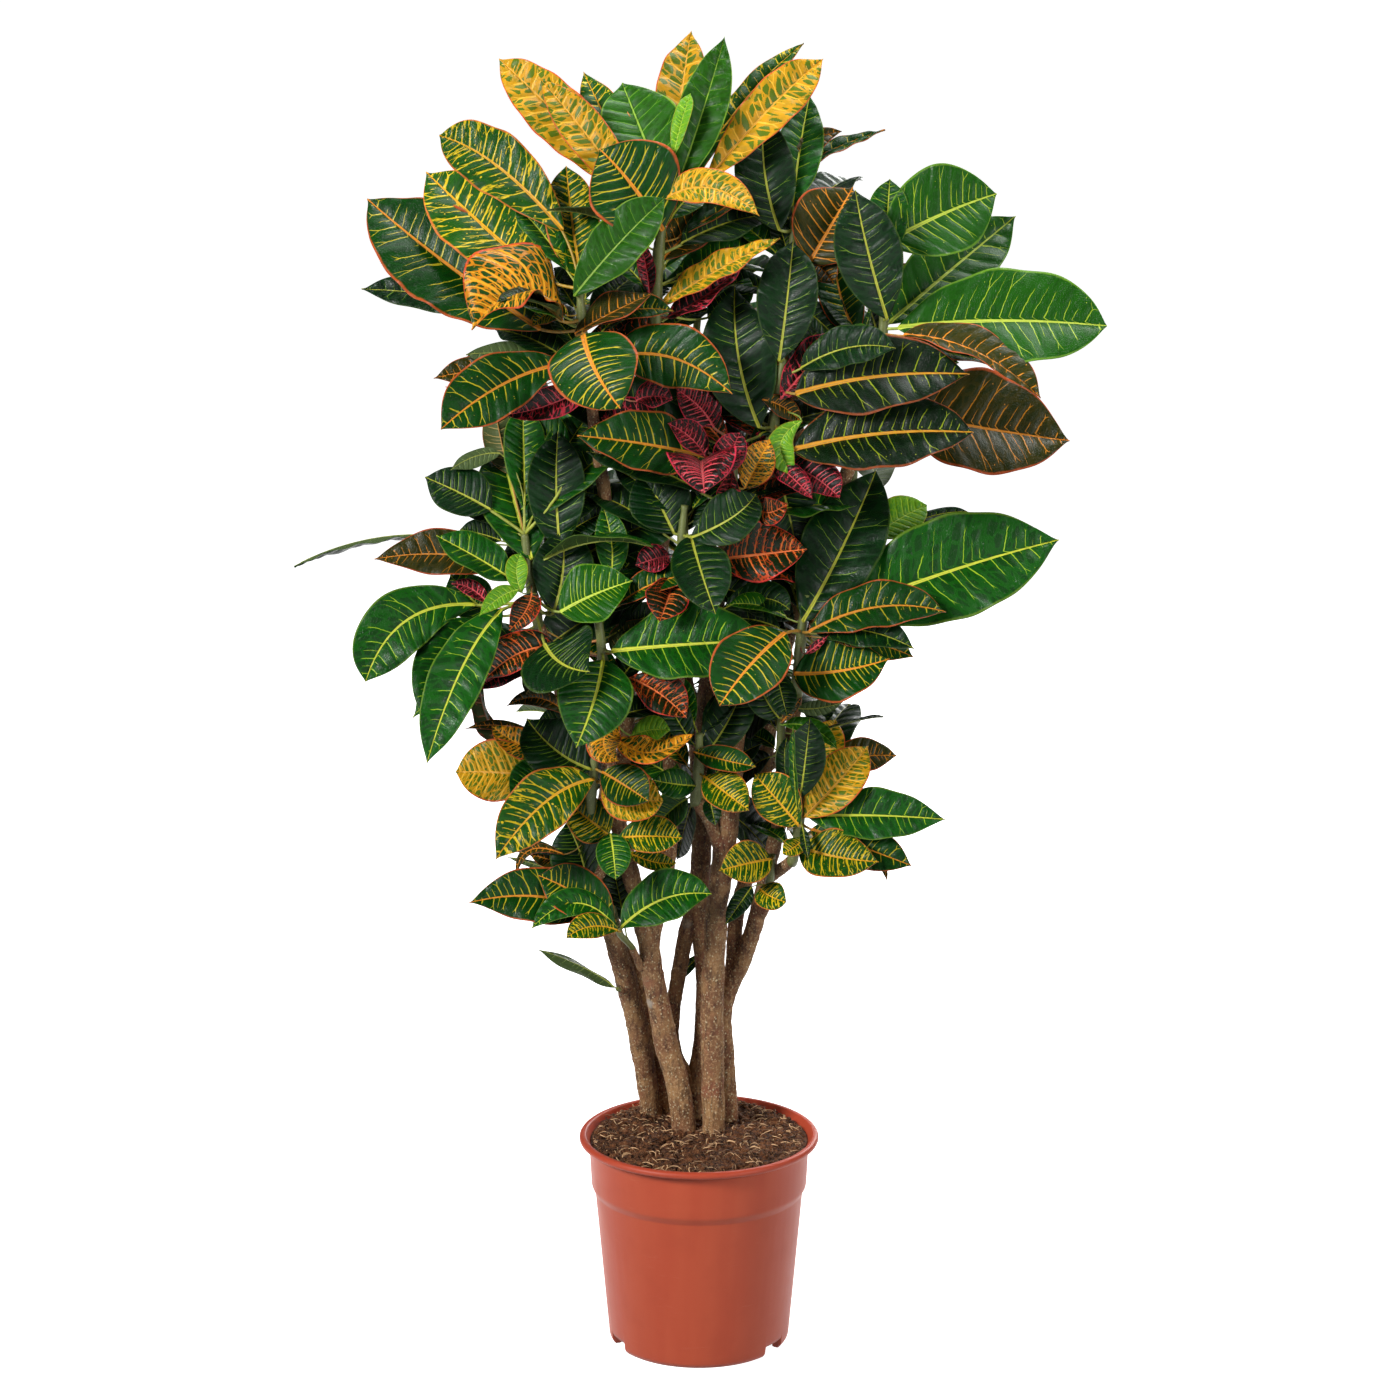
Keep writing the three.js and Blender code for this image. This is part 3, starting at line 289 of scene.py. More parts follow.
def rounded(profile, reach):
    """Each corner becomes a short curve: a quadratic Bezier from a point `reach` before the corner to one
    as far after it, with the corner as its middle control point. Long straights get points in between."""
    before = profile[:-2] - profile[1:-1]
    after = profile[2:] - profile[1:-1]
    lengths = [np.linalg.norm(side, axis=1, keepdims=True) for side in (before, after)]
    size = np.minimum(reach[1:-1, None], 0.45 * np.minimum(*lengths))
    starts = profile[1:-1] + before / lengths[0] * size
    stops = profile[1:-1] + after / lengths[1] * size
    t = np.linspace(0, 1, 5)[None, :, None]
    curve = (1 - t) ** 2 * starts[:, None] + 2 * t * (1 - t) * profile[1:-1, None] + t**2 * stops[:, None]
    line = np.vstack([profile[:1], curve.reshape(-1, 2), profile[-1:]])
    steps = np.ceil(np.linalg.norm(np.diff(line, axis=0), axis=1) / LONGEST_STEP)
    steps = np.maximum(1, steps).astype(int)
    places = np.concatenate([np.arange(n) / n + i for i, n in enumerate(steps)] + [[len(line) - 1]])
    return np.stack([np.interp(places, np.arange(len(line)), line[:, k]) for k in (0, 1)], -1)


pot_line = rounded(POT_PROFILE, ROUNDING)
print("points up the pot's profile:", len(pot_line))

# %% The pot's wall
# The notches' middles are in degrees from the front, and their sides lean over RAMP degrees. The foot is
# what lies farther out than `inside` and lower than `high`, in the first share `outside` of the profile.
NOTCHES = [56, -64, 176]
NOTCH = {"wide": 27, "high": 11.5, "radius": 86}
RAMP = 0.6
RAMP_POINTS = (-.6, -.25, .25, .6)
FOOT = {"inside": 78, "high": 20, "outside": 0.6}

half_notch = np.degrees(np.arcsin(NOTCH["wide"] / 2 / NOTCH["radius"]))
edges = np.concatenate([[n - half_notch, n + half_notch] for n in NOTCHES])
angles = np.concatenate([np.arange(0, 360, 2), *(edges + d for d in RAMP_POINTS)])
angles = np.unique(np.round(angles % 360, 2))
nearest = np.min([np.abs((angles - n + 180) % 360 - 180) for n in NOTCHES], axis=0)
lifted = NOTCH["high"] * np.clip((half_notch + RAMP / 2 - nearest) / RAMP, 0, 1)
radius, height = pot_line.T
outside = np.arange(len(radius)) < len(radius) * FOOT["outside"]
under_foot = (radius > FOOT["inside"]) & outside & (height < FOOT["high"])
turn = np.radians(angles)
z = np.where(under_foot[:, None], np.maximum(height[:, None], lifted[None, :]), height[:, None])
wall = np.stack([radius[:, None] * np.sin(turn), -radius[:, None] * np.cos(turn), z], -1)
print("the pot's wall:", wall.shape[:2], "points")

# %% [markdown]
# ## The pot's plastic
# The plastic is satin: a broad, dull highlight, faint flow marks that run up the wall from the gate under
# the floor, a very fine orange-peel skin, and dust and scuffs that take a little colour out of it.

# %% Plastic
plastic = Wiring("terracotta plastic")
skin = plastic.place()
flow = plastic.noise(plastic.place((1, 1, 0.12)), 26, 2)
cloud = plastic.noise(skin, 34, 4)
grain = plastic.noise(skin, 1.1, 2)
scuff = plastic.noise(plastic.place((0.25, 0.25, 1.6)), 9, 5, 0.7).above(0.6, 0.78)
up = plastic.node("SeparateXYZ", None, {0: skin}, "Z")
tint = plastic.layered("a8442a", (flow.above(0.3, 0.7) * 0.4, "b35134"), (cloud.above(0.45, 0.75) * 0.3, "993e27"),
                       (scuff * 0.12, "c78068"), (up.above(203, 215) * 0.4, "9e3322"))
satin = 0.42 + 0.12 * cloud - 0.05 * grain + 0.12 * scuff
relief = plastic.bump(grain, 0.05, plastic.bump(flow, 0.5))
terracotta = plastic.finish(Base_Color=tint, Roughness=satin, Normal=relief, Specular_IOR_Level=0.22)
print("nodes in the plastic:", len(plastic.tree.nodes))

# %% The pot
shell = Sheaf()
shell.add(wall)
dress(shell.mesh("nursery_pot", terracotta), "pot")

# %% [markdown]
# ## Unevenness worked out with numpy
# Peat, bark and leaf edges all need a little disorder. A sum of plane waves in random directions, with
# lengths around one size, is smooth, cheap on whole arrays and the same at every run because it is seeded.

# %% Rumpling
WAVES = 28


def rumple(points, size, seed):
    """The sum of cosines of wave vector times point plus phase, over WAVES random directions with lengths
    of 0.6 to 1.9 times size, scaled so that it strays about one unit from nought."""
    drawn = np.random.default_rng(seed)
    direction = drawn.normal(size=(WAVES, 3))
    direction /= np.linalg.norm(direction, axis=1, keepdims=True)
    direction *= 2 * np.pi / (size * drawn.uniform(0.6, 1.9, (WAVES, 1)))
    return np.cos(points @ direction.T + drawn.uniform(0, 2 * np.pi, WAVES)).sum(-1) * np.sqrt(2 / WAVES)


def rumples(points, seed, *layers):
    """The sum of rumples, each [height, size], with seeds that follow each other."""
    return sum(high * rumple(points, size, seed + k) for k, (high, size) in enumerate(layers))


def unit(vector):
    """The vector divided by its length, along the last axis."""
    return vector / np.linalg.norm(vector, axis=-1, keepdims=True)


print("rumple at three points:", np.round(rumple(np.eye(3) * 10, 5, 1), 2))

# %% [markdown]
# ## The filling
# Peat with coir: dark crumbs of every size and tan fibres lying all ways. The bed is one spun profile whose
# top is rumpled at three sizes. Loose fibres and crumbs are separate little forms of a few faces each,
# strewn over it, because a bump map alone would look flat at the rim, where the bed is seen from the side.

# %% The bed of peat
SOIL_PROFILE = np.array([
    [0.5, 16], [87.2, 16], [100.3, 150.2], [103.9, 160.8], [106.4, 204.5], [108.6, 208.6], [104, 210], [84, 210.5],
    [54, 210], [26, 210.5], [0.5, 210]])
BED_SIDE = 5
BED_RINGS, BED_SPOKES = 90, 220
HEAPED = 0.03


def bed_height(x, y):
    """Height of the peat at x and y: the profile's own height, 30 mm in a metre higher to the rear, where
    it was heaped, with waves of 60, 15 and 5 mm on it."""
    out = np.hypot(x, y)
    inward = np.clip((108 - out) / 8, 0, 1)
    level = np.interp(out, SOIL_PROFILE[:BED_SIDE - 1:-1, 0], SOIL_PROFILE[:BED_SIDE - 1:-1, 1])
    waves = rumples(np.stack([x, y, 0 * x], -1), 3, (1.2, 60), (1.2, 15), (0.9, 5))
    return level + inward * (HEAPED * y + waves)


inner = np.linspace(SOIL_PROFILE[BED_SIDE, 0], SOIL_PROFILE[-1, 0], BED_RINGS)
radius = np.concatenate([SOIL_PROFILE[:BED_SIDE, 0], inner])
turn = np.linspace(0, 2 * np.pi, BED_SPOKES, endpoint=False)
x, y = radius[:, None] * np.sin(turn), -radius[:, None] * np.cos(turn)
z = bed_height(x, y)
z[:BED_SIDE] = SOIL_PROFILE[:BED_SIDE, 1:]
bed = Sheaf()
bed.add(np.stack([x, y, z], -1), tone=[0.5, 0, 0])
print("highest peat:", z.max().round(1), "mm")

# %% [markdown]
# ## Loose fibres and crumbs
# A fibre is a thread on an arched path, a crumb a small uneven ball. Each stands on the bed's own height at
# its place, every second one is a fibre, and each keeps its own shade as a number at its points.

# %% Fibres and crumbs
STREWN = 2600
SPREAD, LIP = 105, 106
FIBRE = {"long": (5, 18), "curl": 1.4, "thick": (0.25, 0.58), "sides": 4, "rows": 6}
CRUMB = (1.2, 4.0)
SUNK, RAISED = [0, 0, -0.3], [0, 0, 0.2]
drawn = np.random.default_rng(11)


def strand(start, way, length, curl, thick):
    """A thread from start: its heading turns by curl radians over its length while it rises and sinks in one
    low arch. Rings of points stand square to it and shrink at both ends."""
    t = np.linspace(0, 1, FIBRE["rows"])
    heading = way + curl * t
    step = length / (FIBRE["rows"] - 1)
    path = np.stack([np.cumsum(np.cos(heading)), np.cumsum(np.sin(heading)), 0 * t], -1) * step
    path[:, 2] = 0.16 * length * np.sin(np.pi * t)
    ahead = unit(np.gradient(path, axis=0))
    side = unit(np.stack([-ahead[:, 1], ahead[:, 0], 0 * t], -1))
    over = np.cross(ahead, side)
    turned = 2 * np.pi * np.arange(FIBRE["sides"]) / FIBRE["sides"]
    girth = thick * (0.35 + 0.65 * np.sin(np.pi * t))[:, None, None]
    ring = side[:, None] * np.cos(turned)[:, None] + over[:, None] * np.sin(turned)[:, None]
    return start + path[:, None] + girth * ring


def lump(middle, size, seed):
    """A crumb: three rings of six points on a flattened ball, each point pushed in or out at random."""
    rise = np.radians([-55, 0, 55])[:, None]
    turned = np.radians(np.arange(0, 360, 60))[None, :]
    level = 0.7 * np.sin(rise) + 0 * turned
    ball = np.stack([np.cos(rise) * np.cos(turned), np.cos(rise) * np.sin(turned), level], -1)
    push = np.random.default_rng(seed).uniform(0.65, 1.25, (3, 6, 1))
    return middle + size * ball * push


for n in range(STREWN):
    far, angle = SPREAD * np.sqrt(drawn.uniform(0.002, 1)), drawn.uniform(0, 2 * np.pi)
    spot = np.array([far * np.sin(angle), -far * np.cos(angle), 0])
    spot[2] = bed_height(spot[0], spot[1])
    pale = drawn.uniform(0, 1)
    if n % 2:
        length, way = drawn.uniform(*FIBRE["long"]), drawn.uniform(0, 6.3)
        curl, thick = drawn.normal(0, FIBRE["curl"]), drawn.uniform(*FIBRE["thick"])
        fibre = strand(spot + SUNK, way, length, curl, thick)
        out = np.hypot(fibre[..., 0], fibre[..., 1])
        fibre[..., :2] *= np.minimum(1, LIP / np.maximum(out, 1))[..., None]
        bed.add(fibre, stuff=1, tone=[pale, 0, 0])
    else:
        bed.add(lump(spot + RAISED, drawn.uniform(*CRUMB), n), stuff=0, tone=[pale * 0.8, 0, 0])
print("fibres and crumbs:", STREWN)

# %% [markdown]
# ## Peat and coir
# Peat is matt, red-brown on its clods and nearly black in its pits, where the same noise sinks the relief: that
# near-black is painted shade laid over the peat's own dark brown. The fibres are straw-coloured, each its own tone:
# that tone comes in as an attribute, a number stored at every point of the mesh.

# %% Peat and fibre
peat = Wiring("peat")
ground = peat.place()
shade = peat.node("SeparateXYZ", None, {0: peat.stored("tone")}, "X")
clods = peat.noise(ground, 7, 6, 0.7)
dust = peat.noise(ground, 1.3, 4, 0.7)
straw = peat.noise(peat.place((0.5, 2.2, 1)), 3.2, 4, 0.8).above(0.6, 0.7)
# The near-black base shows where the clods noise is low, which the bump below sinks into pits: painted shade there,
# over the peat's own dark brown.
earth = peat.layered("180b04", (clods.above(0.38, 0.6), "704428"), (dust.above(0.5, 0.66) * 0.8, "a0714a"),
                     (straw * 0.3, "946a42"), (shade.above(0.3, 1.0) * 0.5, "3a2012"))
crumbly = peat.bump(dust, 1.2, peat.bump(clods, 3.0))
humus = peat.finish(Base_Color=earth, Roughness=0.9 - 0.1 * dust, Normal=crumbly, Specular_IOR_Level=0.25)

coir = Wiring("coir fibre")
shade = coir.node("SeparateXYZ", None, {0: coir.stored("tone")}, "X")
grain = coir.noise(coir.place(), 1.4, 3)
hair = coir.layered("3c2012", (shade.above(0.35, 1.0), "e8ba88"), (grain.above(0.45, 0.7) * 0.4, "7d5638"))
fibrous = coir.finish(Base_Color=hair, Roughness=0.7 + 0.1 * grain, Normal=coir.bump(grain, 0.15))
dress(bed.mesh("peat_filling", humus, fibrous), "soil")

# %% [markdown]
# ## Where the plant's points are
# The plant was measured in the picture: each point is how far across and up it is seen, against the upright
# plane through the pot's axis, and how far it stands in front of that plane. `seen` slides it along the line
# of sight, so that it stays where the photograph shows it however deep it lies.

# %% From the picture to space
def seen(places):
    """[across, up, toward] to x y z: the point (across, 0, up) moved toward/3350 of the way to the eye."""
    places = np.asarray(places, float)
    plane = np.stack([places[..., 0], 0 * places[..., 0], places[..., 1]], -1)
    return plane + (EYE - plane) * (places[..., 2:3] / -EYE[1])


def stations_of(path):
    """[across, up, toward, radius] to [x, y, z, radius]."""
    places = np.array(path, float)
    return np.hstack([seen(places[:, :3]), places[:, 3:]])


def fine_path(stations, step):
    """A smooth line through the stations [x, y, z, radius]: between two of them a Catmull-Rom cubic, whose
    slope at each station is half the way from the one before to the one after."""
    padded = np.vstack([2 * stations[0] - stations[1], stations, 2 * stations[-1] - stations[-2]])
    parts = []
    for a, b, c, d in zip(padded, padded[1:], padded[2:], padded[3:]):
        count = max(2, int(np.linalg.norm(c[:3] - b[:3]) / step) + 1)
        t = np.linspace(0, 1, count, endpoint=False)[:, None]
        square, cube = 2 * a - 5 * b + 4 * c - d, 3 * b - a - 3 * c + d
        parts.append(0.5 * (2 * b + (c - a) * t + square * t**2 + cube * t**3))
    return np.vstack([*parts, stations[-1:]])


def tube(path, sides, swell=None):
    """Rings square to the path. The side direction is carried from ring to ring and made square to the new
    heading, so the tube doesn't twist. swell adds to the radius, from the length so far and the angle."""
    middle, girth = path[:, None, :3], path[:, 3:4]
    ahead = unit(np.gradient(path[:, :3], axis=0))
    side = np.empty_like(ahead)
    carried = np.array([1.0, 0, 0])
    for i, way in enumerate(ahead):
        carried = unit(carried - way * (way @ carried))
        side[i] = carried
    other = np.cross(ahead, side)
    angle = 2 * np.pi * np.arange(sides) / sides
    out = side[:, None] * np.cos(angle)[:, None] + other[:, None] * np.sin(angle)[:, None]
    radius = np.broadcast_to(girth, (len(path), sides))
    if swell:
        run = np.append(0, np.cumsum(np.linalg.norm(np.diff(path[:, :3], axis=0), axis=1)))
        radius = radius + swell(run[:, None], angle[None, :], middle + out * girth[:, None])
    return middle + out * radius[..., None]


print("the point 100 up and 50 nearer:", seen([0, 100, 50]).round(1))

# %% [markdown]
# ## The woody stems
# Five stems leave the peat and fork. Each branch is a tube along a smooth path with its own thickness at
# every station. A fork starts inside its parent, so no seam has to be sewn. The first path of a stem is its
# trunk; the short ones are the twigs that carry a shoot.

# %% The paths of the stems
STEMS = {
    "stem_left": [
        [[-47, 176, -68, 10.5], [-47, 226, -65, 11], [-52, 270, -58, 11], [-62, 330, -45, 11],
         [-79, 400, -25, 10.5], [-95, 460, -10, 10], [-106, 520, 0, 9.5], [-116, 590, -5, 8.5],
         [-134, 670, 0, 7.5], [-155, 731, 14, 6]],
        [[-100, 474, -8, 8], [-101, 488, 3, 7.5], [-103, 498, 15, 7], [-104, 508, 22, 6.5]],
        [[-116, 600, -8, 6.5], [-124, 680, -60, 6.5], [-145, 790, -118, 6]],
        [[-106, 505, -4, 6], [-96, 540, -60, 6], [-92, 572, -108, 5.5]],
        [[-72, 362, -34, 5], [-76, 363, -26, 2.8], [-79, 364, -19, 2.4]],
        [[-30, 186, -76, 7], [-32, 222, -74, 7.5], [-39, 265, -67, 7.6], [-49, 320, -57, 7.6],
         [-60, 372, -44, 7.2], [-76, 415, -28, 6.5]],
    ],
    "stem_centre_left": [
        [[-13, 165, -26, 11.5], [-14, 212, -26, 12], [-22, 270, -22, 12], [-31, 300, -20, 11.5],
         [-38, 340, -16, 11.5], [-46, 380, -10, 11], [-50, 412, -6, 10.5], [-58, 440, -4, 9],
         [-69, 490, 0, 9], [-80, 540, 5, 8], [-88, 590, 18, 7], [-91, 618, 25, 6.5]],
        [[-49, 405, -7, 9.5], [-42, 450, -8, 9.5], [-32, 500, -5, 9.5], [-28, 560, -5, 9],
         [-24, 640, -8, 8.5], [-18, 766, 9, 7]],
        [[-78, 525, 3, 7.5], [-78, 570, -12, 7.5], [-70, 640, -22, 7.5], [-74, 740, -26, 7],
         [-88, 840, -18, 6.5], [-99, 920, 6, 6], [-104, 961, 24, 5.5]],
        [[-57, 386, -6, 4.5], [-62, 398, 3, 3.4], [-66, 407, 13, 3.2]],
    ],
    "stem_centre_back": [
        [[-4, 178, -55, 9.5], [-4, 222, -55, 10], [-4, 262, -51, 9.5], [0, 300, -48, 7.5],
         [2.5, 330, -46, 6.6], [3, 390, -42, 6.8], [-1, 440, -38, 9.5], [2, 500, -34, 10],
         [4, 560, -34, 9.5], [6, 650, -34, 9], [16, 740, -20, 8], [27, 826, 13, 6.5]],
        [[-5, 256, -51, 8], [-14, 276, -48, 7.8], [-24, 298, -45, 7.6], [-27, 326, -43, 7.6],
         [-23, 362, -38, 7.6], [-15, 410, -35, 8], [-6, 452, -36, 7.5]],
        [[4, 545, -36, 8.5], [-6, 640, -52, 8], [-30, 760, -54, 7.5], [-45, 860, -42, 7],
         [-44, 940, -16, 6.5], [-42, 996, -1, 6]],
        [[6, 620, -38, 7], [12, 670, -96, 6.5], [10, 705, -142, 6]],
        [[-21, 370, -36, 4], [-23, 371, -46, 2.4], [-24, 372, -50, 2.2]],
        [[-36, 800, -52, 6], [-26, 880, -96, 6], [-10, 945, -142, 5.5]],
    ],
    "stem_front": [
        [[16, 165, -17, 11], [15, 209, -17, 11.5], [14, 270, -14, 11.5], [13, 340, -10, 11.5],
         [15, 400, -6, 11], [18, 450, -2, 11], [24, 500, 2, 11], [31, 560, 6, 10.5], [36, 620, 0, 9],
         [44, 700, -10, 8], [58, 790, -14, 7.5], [66, 850, -8, 7], [68, 896, 4, 6]],
        [[23, 505, 3, 7.5], [10, 538, 15, 6.5], [-2, 556, 24, 6]],
    ],
    "stem_right": [
        [[30, 172, -47, 9.5], [30.5, 219, -47, 9.8], [27.5, 265, -45, 9.8], [26, 295, -43, 9.6],
         [23.5, 325, -41, 9.5], [24, 345, -40, 9.4], [31, 368, -37, 9.2], [43, 394, -32, 8.8],
         [56, 436, -24, 8.5], [64, 470, -20, 8], [74, 515, -16, 7.5], [84, 560, -20, 7.5],
         [90, 620, -12, 7], [95, 666, 18, 6]],
        [[27, 352, -39, 8], [33, 385, -39, 7.6], [37, 440, -42, 7.5], [46, 480, -52, 8], [60, 560, -64, 8],
         [76, 680, -66, 7.5], [110, 800, -60, 7], [145, 890, -45, 6.5], [167, 956, -21, 6]],
        [[69, 480, -18, 6.5], [82, 489, 6, 6], [91, 497, 23, 5.5]],
        [[60, 440, -24, 6], [65, 449, -9, 5], [66, 453, -1, 5]],
        [[76, 548, -62, 6.5], [80, 575, -30, 5.5], [79, 597, -1, 5]],
        [[108, 790, -60, 6.5], [100, 880, -72, 6], [89, 970, -60, 6], [84, 1036, -31, 5.5]],
        [[66, 590, -64, 6.5], [100, 625, -110, 6], [112, 645, -140, 5.5]],
        [[112, 800, -60, 6], [130, 830, -110, 6], [145, 860, -150, 5.5]],
    ],
}
print("stems:", {name: len(paths) for name, paths in STEMS.items()})

# %% [markdown]
# ## Warts and scars
# Old croton wood is grey-brown and warty, ringed by the scars of fallen leaves. They could be sculpted or
# left to a bump map, but they show on the outline too. So they are added to the tube's radius: knots of three
# sizes, and scars that run part of the way round, each a ridge with a groove after it.

# %% Bark in the round
SCARS = 70
SCARS_APART = (9, 24)
SCAR_HIGH, RIDGE, GROOVE = 0.62, 1.5, 1.3
KNOTS = ((0.38, 26), (0.2, 9), (0.09, 3.5))
STEM_SIDES, STEM_STEP = 26, 3.2


def warty(seed):
    """How far the bark stands out, in mm: long swellings, finer knots, and scars, each a narrow ridge along
    the length that fades round the stem. All of it fades where the tube is thin."""
    marks = np.random.default_rng(seed)
    places = np.cumsum(marks.uniform(*SCARS_APART, SCARS))
    facing = marks.uniform(0, 2 * np.pi, SCARS)

    def swell(run, angle, points):
        between = np.linalg.norm(points[:, :1] - points[:, 1:2], axis=-1)
        girth = 0.35 + 0.65 * np.clip(between / 4, 0, 1)
        scars = np.zeros(np.broadcast_shapes(run.shape, angle.shape))
        for place, way in zip(places[places < run.max()], facing):
            past = run - (place + 1.5 * np.cos(angle - way))
            near = np.exp(-((past / RIDGE) ** 2)) - 0.55 * np.exp(-(((past - 2.4) / GROOVE) ** 2))
            scars += SCAR_HIGH * near * (0.55 + 0.45 * np.cos(angle - way))
        return girth * (rumples(points, seed, *KNOTS) + scars)

    return swell


trunks = {}
for number, (name, paths) in enumerate(STEMS.items()):
    trunks[name] = Sheaf()
    for which, path in enumerate(paths):
        line = fine_path(stations_of(path), STEM_STEP)
        trunks[name].add(tube(line, STEM_SIDES, warty(100 + 10 * number + which)))
    print(name, trunks[name].count, "points")

# %% [markdown]
# ## The bark's finish
# The colour is a warm grey-brown with thousands of pale corky dots, darker streaks along the grain, and a
# few bleached or reddish patches where a leaf or a twig came away. Each patch is a ball about its own place,
# its edge made ragged by the mottling.

# %% Bark
# Each patch: [across, up, toward] of its middle, its radius in mm, its colour.
PATCHES = [(-62, 393, -24, 7, "b3aa9a"), (-50, 350, -15, 6, "b7afa2"), (-13, 432, -36, 6, "aaa190"),
           (-50, 372, -12, 8, "8d5a41"), (14, 250, -4, 7, "a08a6a")]
TO_THE_SURFACE = 8

bark = Wiring("croton bark")
wood = bark.place()
streak = bark.noise(bark.place((1, 1, 0.22)), 4.5, 5, 0.65)
cloud = bark.noise(wood, 22, 4)
mottle = bark.noise(wood, 2.6, 4, 0.7)
dots = bark.cells(bark.place((1, 1, 0.75)), 3.1).above(0.3, 0.16)
pores = dots * (bark.noise(wood, 9, 2) + 0.3 * mottle).above(0.5, 0.66)
blush = bark.noise(wood, 30, 3)
brown = bark.layered("744c32", (cloud.above(0.35, 0.68), "a17a50"), (blush.above(0.52, 0.68) * 0.7, "804a34"),
                     (streak.above(0.45, 0.66) * 0.75, "38231a"), (mottle.above(0.5, 0.64) * 0.6, "c2a074"),
                     (pores * 0.9, "dcc9a2"))
for across, high, toward, reach, code in PATCHES:
    middle = seen([across, high, toward + TO_THE_SURFACE])
    away = bark.node("VectorMath", {"operation": "DISTANCE"}, {0: wood, 1: middle.tolist()}, "Value")
    ragged = (away + 7 * mottle).above(reach + 5, reach)
    brown = bark.mix(ragged * 0.6, brown, code)
rough = bark.bump(streak, 1.6, bark.bump(dots, 0.7, bark.bump(mottle, 1.0)))
corked = bark.finish(Base_Color=brown, Roughness=0.74 + 0.16 * mottle, Normal=rough, Specular_IOR_Level=0.3)
print("nodes in the bark:", len(bark.tree.nodes))

# %% The stems
for name, trunk in trunks.items():
    dress(trunk.mesh("bark_" + name, corked), name)

# %% [markdown]
# ## The leafy shoots
# Each branch end carries a short green stem with its own crown of leaves. The table gives each shoot a
# letter, the name of its solid and the path of its green stem. U to Z are at the back, out of sight; R and T
# are the two lone leaves on the old wood.

# %% The shoots
SHOOTS = {
    "A": ("shoot_top", [[-42, 1000, 0, 6], [-40, 1060, 4, 5.5], [-35, 1120, 4, 4.5], [-27, 1178, 2, 3]]),
    "B": ("shoot_upper_left", [[-104, 965, 25, 5.5], [-110, 1010, 30, 5], [-113, 1058, 30, 3.5]]),
    "C": ("shoot_upper_right", [[168, 960, -20, 6], [174, 1010, -15, 5], [176, 1058, -16, 3.5]]),
    "P": ("shoot_between_top_and_right", [[84, 1040, -30, 5.5], [88, 1085, -25, 4.5], [90, 1125, -25, 3.5]]),
    "D": ("shoot_dark_right_of_centre", [[68, 900, 5, 6], [74, 950, 10, 5], [80, 990, 10, 3.5]]),
    "E": ("shoot_red_centre", [[28, 830, 15, 6.5], [32, 880, 20, 5], [34, 915, 20, 3.5]]),
    "Q": ("shoot_dark_left_of_centre", [[-18, 770, 10, 7], [-16, 815, 12, 5.5], [-14, 850, 12, 3.5]]),
    "F": ("shoot_left_middle", [[-156, 735, 15, 6], [-164, 785, 20, 5], [-168, 822, 20, 3.5]]),
    "G": ("shoot_centre_left_lower", [[-91, 620, 25, 6.3], [-94, 705, 40, 5], [-99, 748, 40, 3.5]]),
    "H": ("shoot_right_middle", [[96, 670, 19, 6], [99, 722, 25, 5], [104, 762, 20, 3.5]]),
    "I": ("shoot_lower_left",
          [[-104, 510, 23, 6.3], [-106, 547, 27, 5.5], [-104, 580, 32, 5], [-100, 614, 32, 3.5]]),
    "J": ("shoot_lower_right", [[93, 500, 25, 5.5], [99, 535, 32, 5], [101, 572, 32, 3.5]]),
    "K": ("shoot_lowest_left", [[-68, 411, 17, 3.2], [-79, 424, 38, 3.2], [-85, 450, 34, 2.6]]),
    "L": ("shoot_small_lower_right", [[66, 457, 2, 5], [70, 480, 8, 4], [72, 503, 8, 3]]),
    "M": ("shoot_low_centre", [[-4, 560, 26, 6], [0, 595, 28, 5], [0, 625, 28, 3.5]]),
    "N": ("shoot_small_right_of_centre", [[79, 601, 1, 5], [80, 635, 5, 4], [82, 662, 5, 3]]),
    "U": ("shoot_back_top", [[-9, 949, -146, 5.5], [-4, 1000, -160, 4.5], [0, 1045, -165, 3.5]]),
    "V": ("shoot_back_left", [[-146, 794, -120, 6], [-152, 850, -132, 5], [-154, 900, -136, 3.5]]),
    "W": ("shoot_back_right", [[146, 864, -152, 5.5], [150, 915, -160, 4.5], [150, 955, -162, 3.5]]),
    "X": ("shoot_back_centre", [[10, 709, -146, 6], [10, 760, -156, 5], [8, 805, -160, 3.5]]),
    "Y": ("shoot_back_lower_left", [[-92, 576, -112, 5.5], [-92, 620, -124, 4.5], [-92, 660, -128, 3.5]]),
    "Z": ("shoot_back_lower_right", [[113, 649, -143, 5.5], [116, 690, -150, 4.5], [116, 730, -152, 3.5]]),
    "R": ("leaf_low_left", [[-79, 364, -18, 2.4], [-81, 365, -11, 2]]),
    "T": ("leaf_low_centre", [[-24, 372, -51, 2.2], [-24, 373, -58, 2]]),
}
BACK = "UVWXYZ"
print("shoots:", len(SHOOTS), "of them at the back:", len(BACK))

# %% [markdown]
# ## The leaves, one by one
# This cultivar never repeats itself: young leaves are green and gold, old ones dark with red ribs. So each
# leaf that the photograph shows has its own row under its shoot: its kind, [across, up, toward] of the places
# where its blade starts, passes and ends, how broad it is seen, and where they are not 0 and 8, how many
# degrees it rolls about its midrib and how many its halves are folded up.

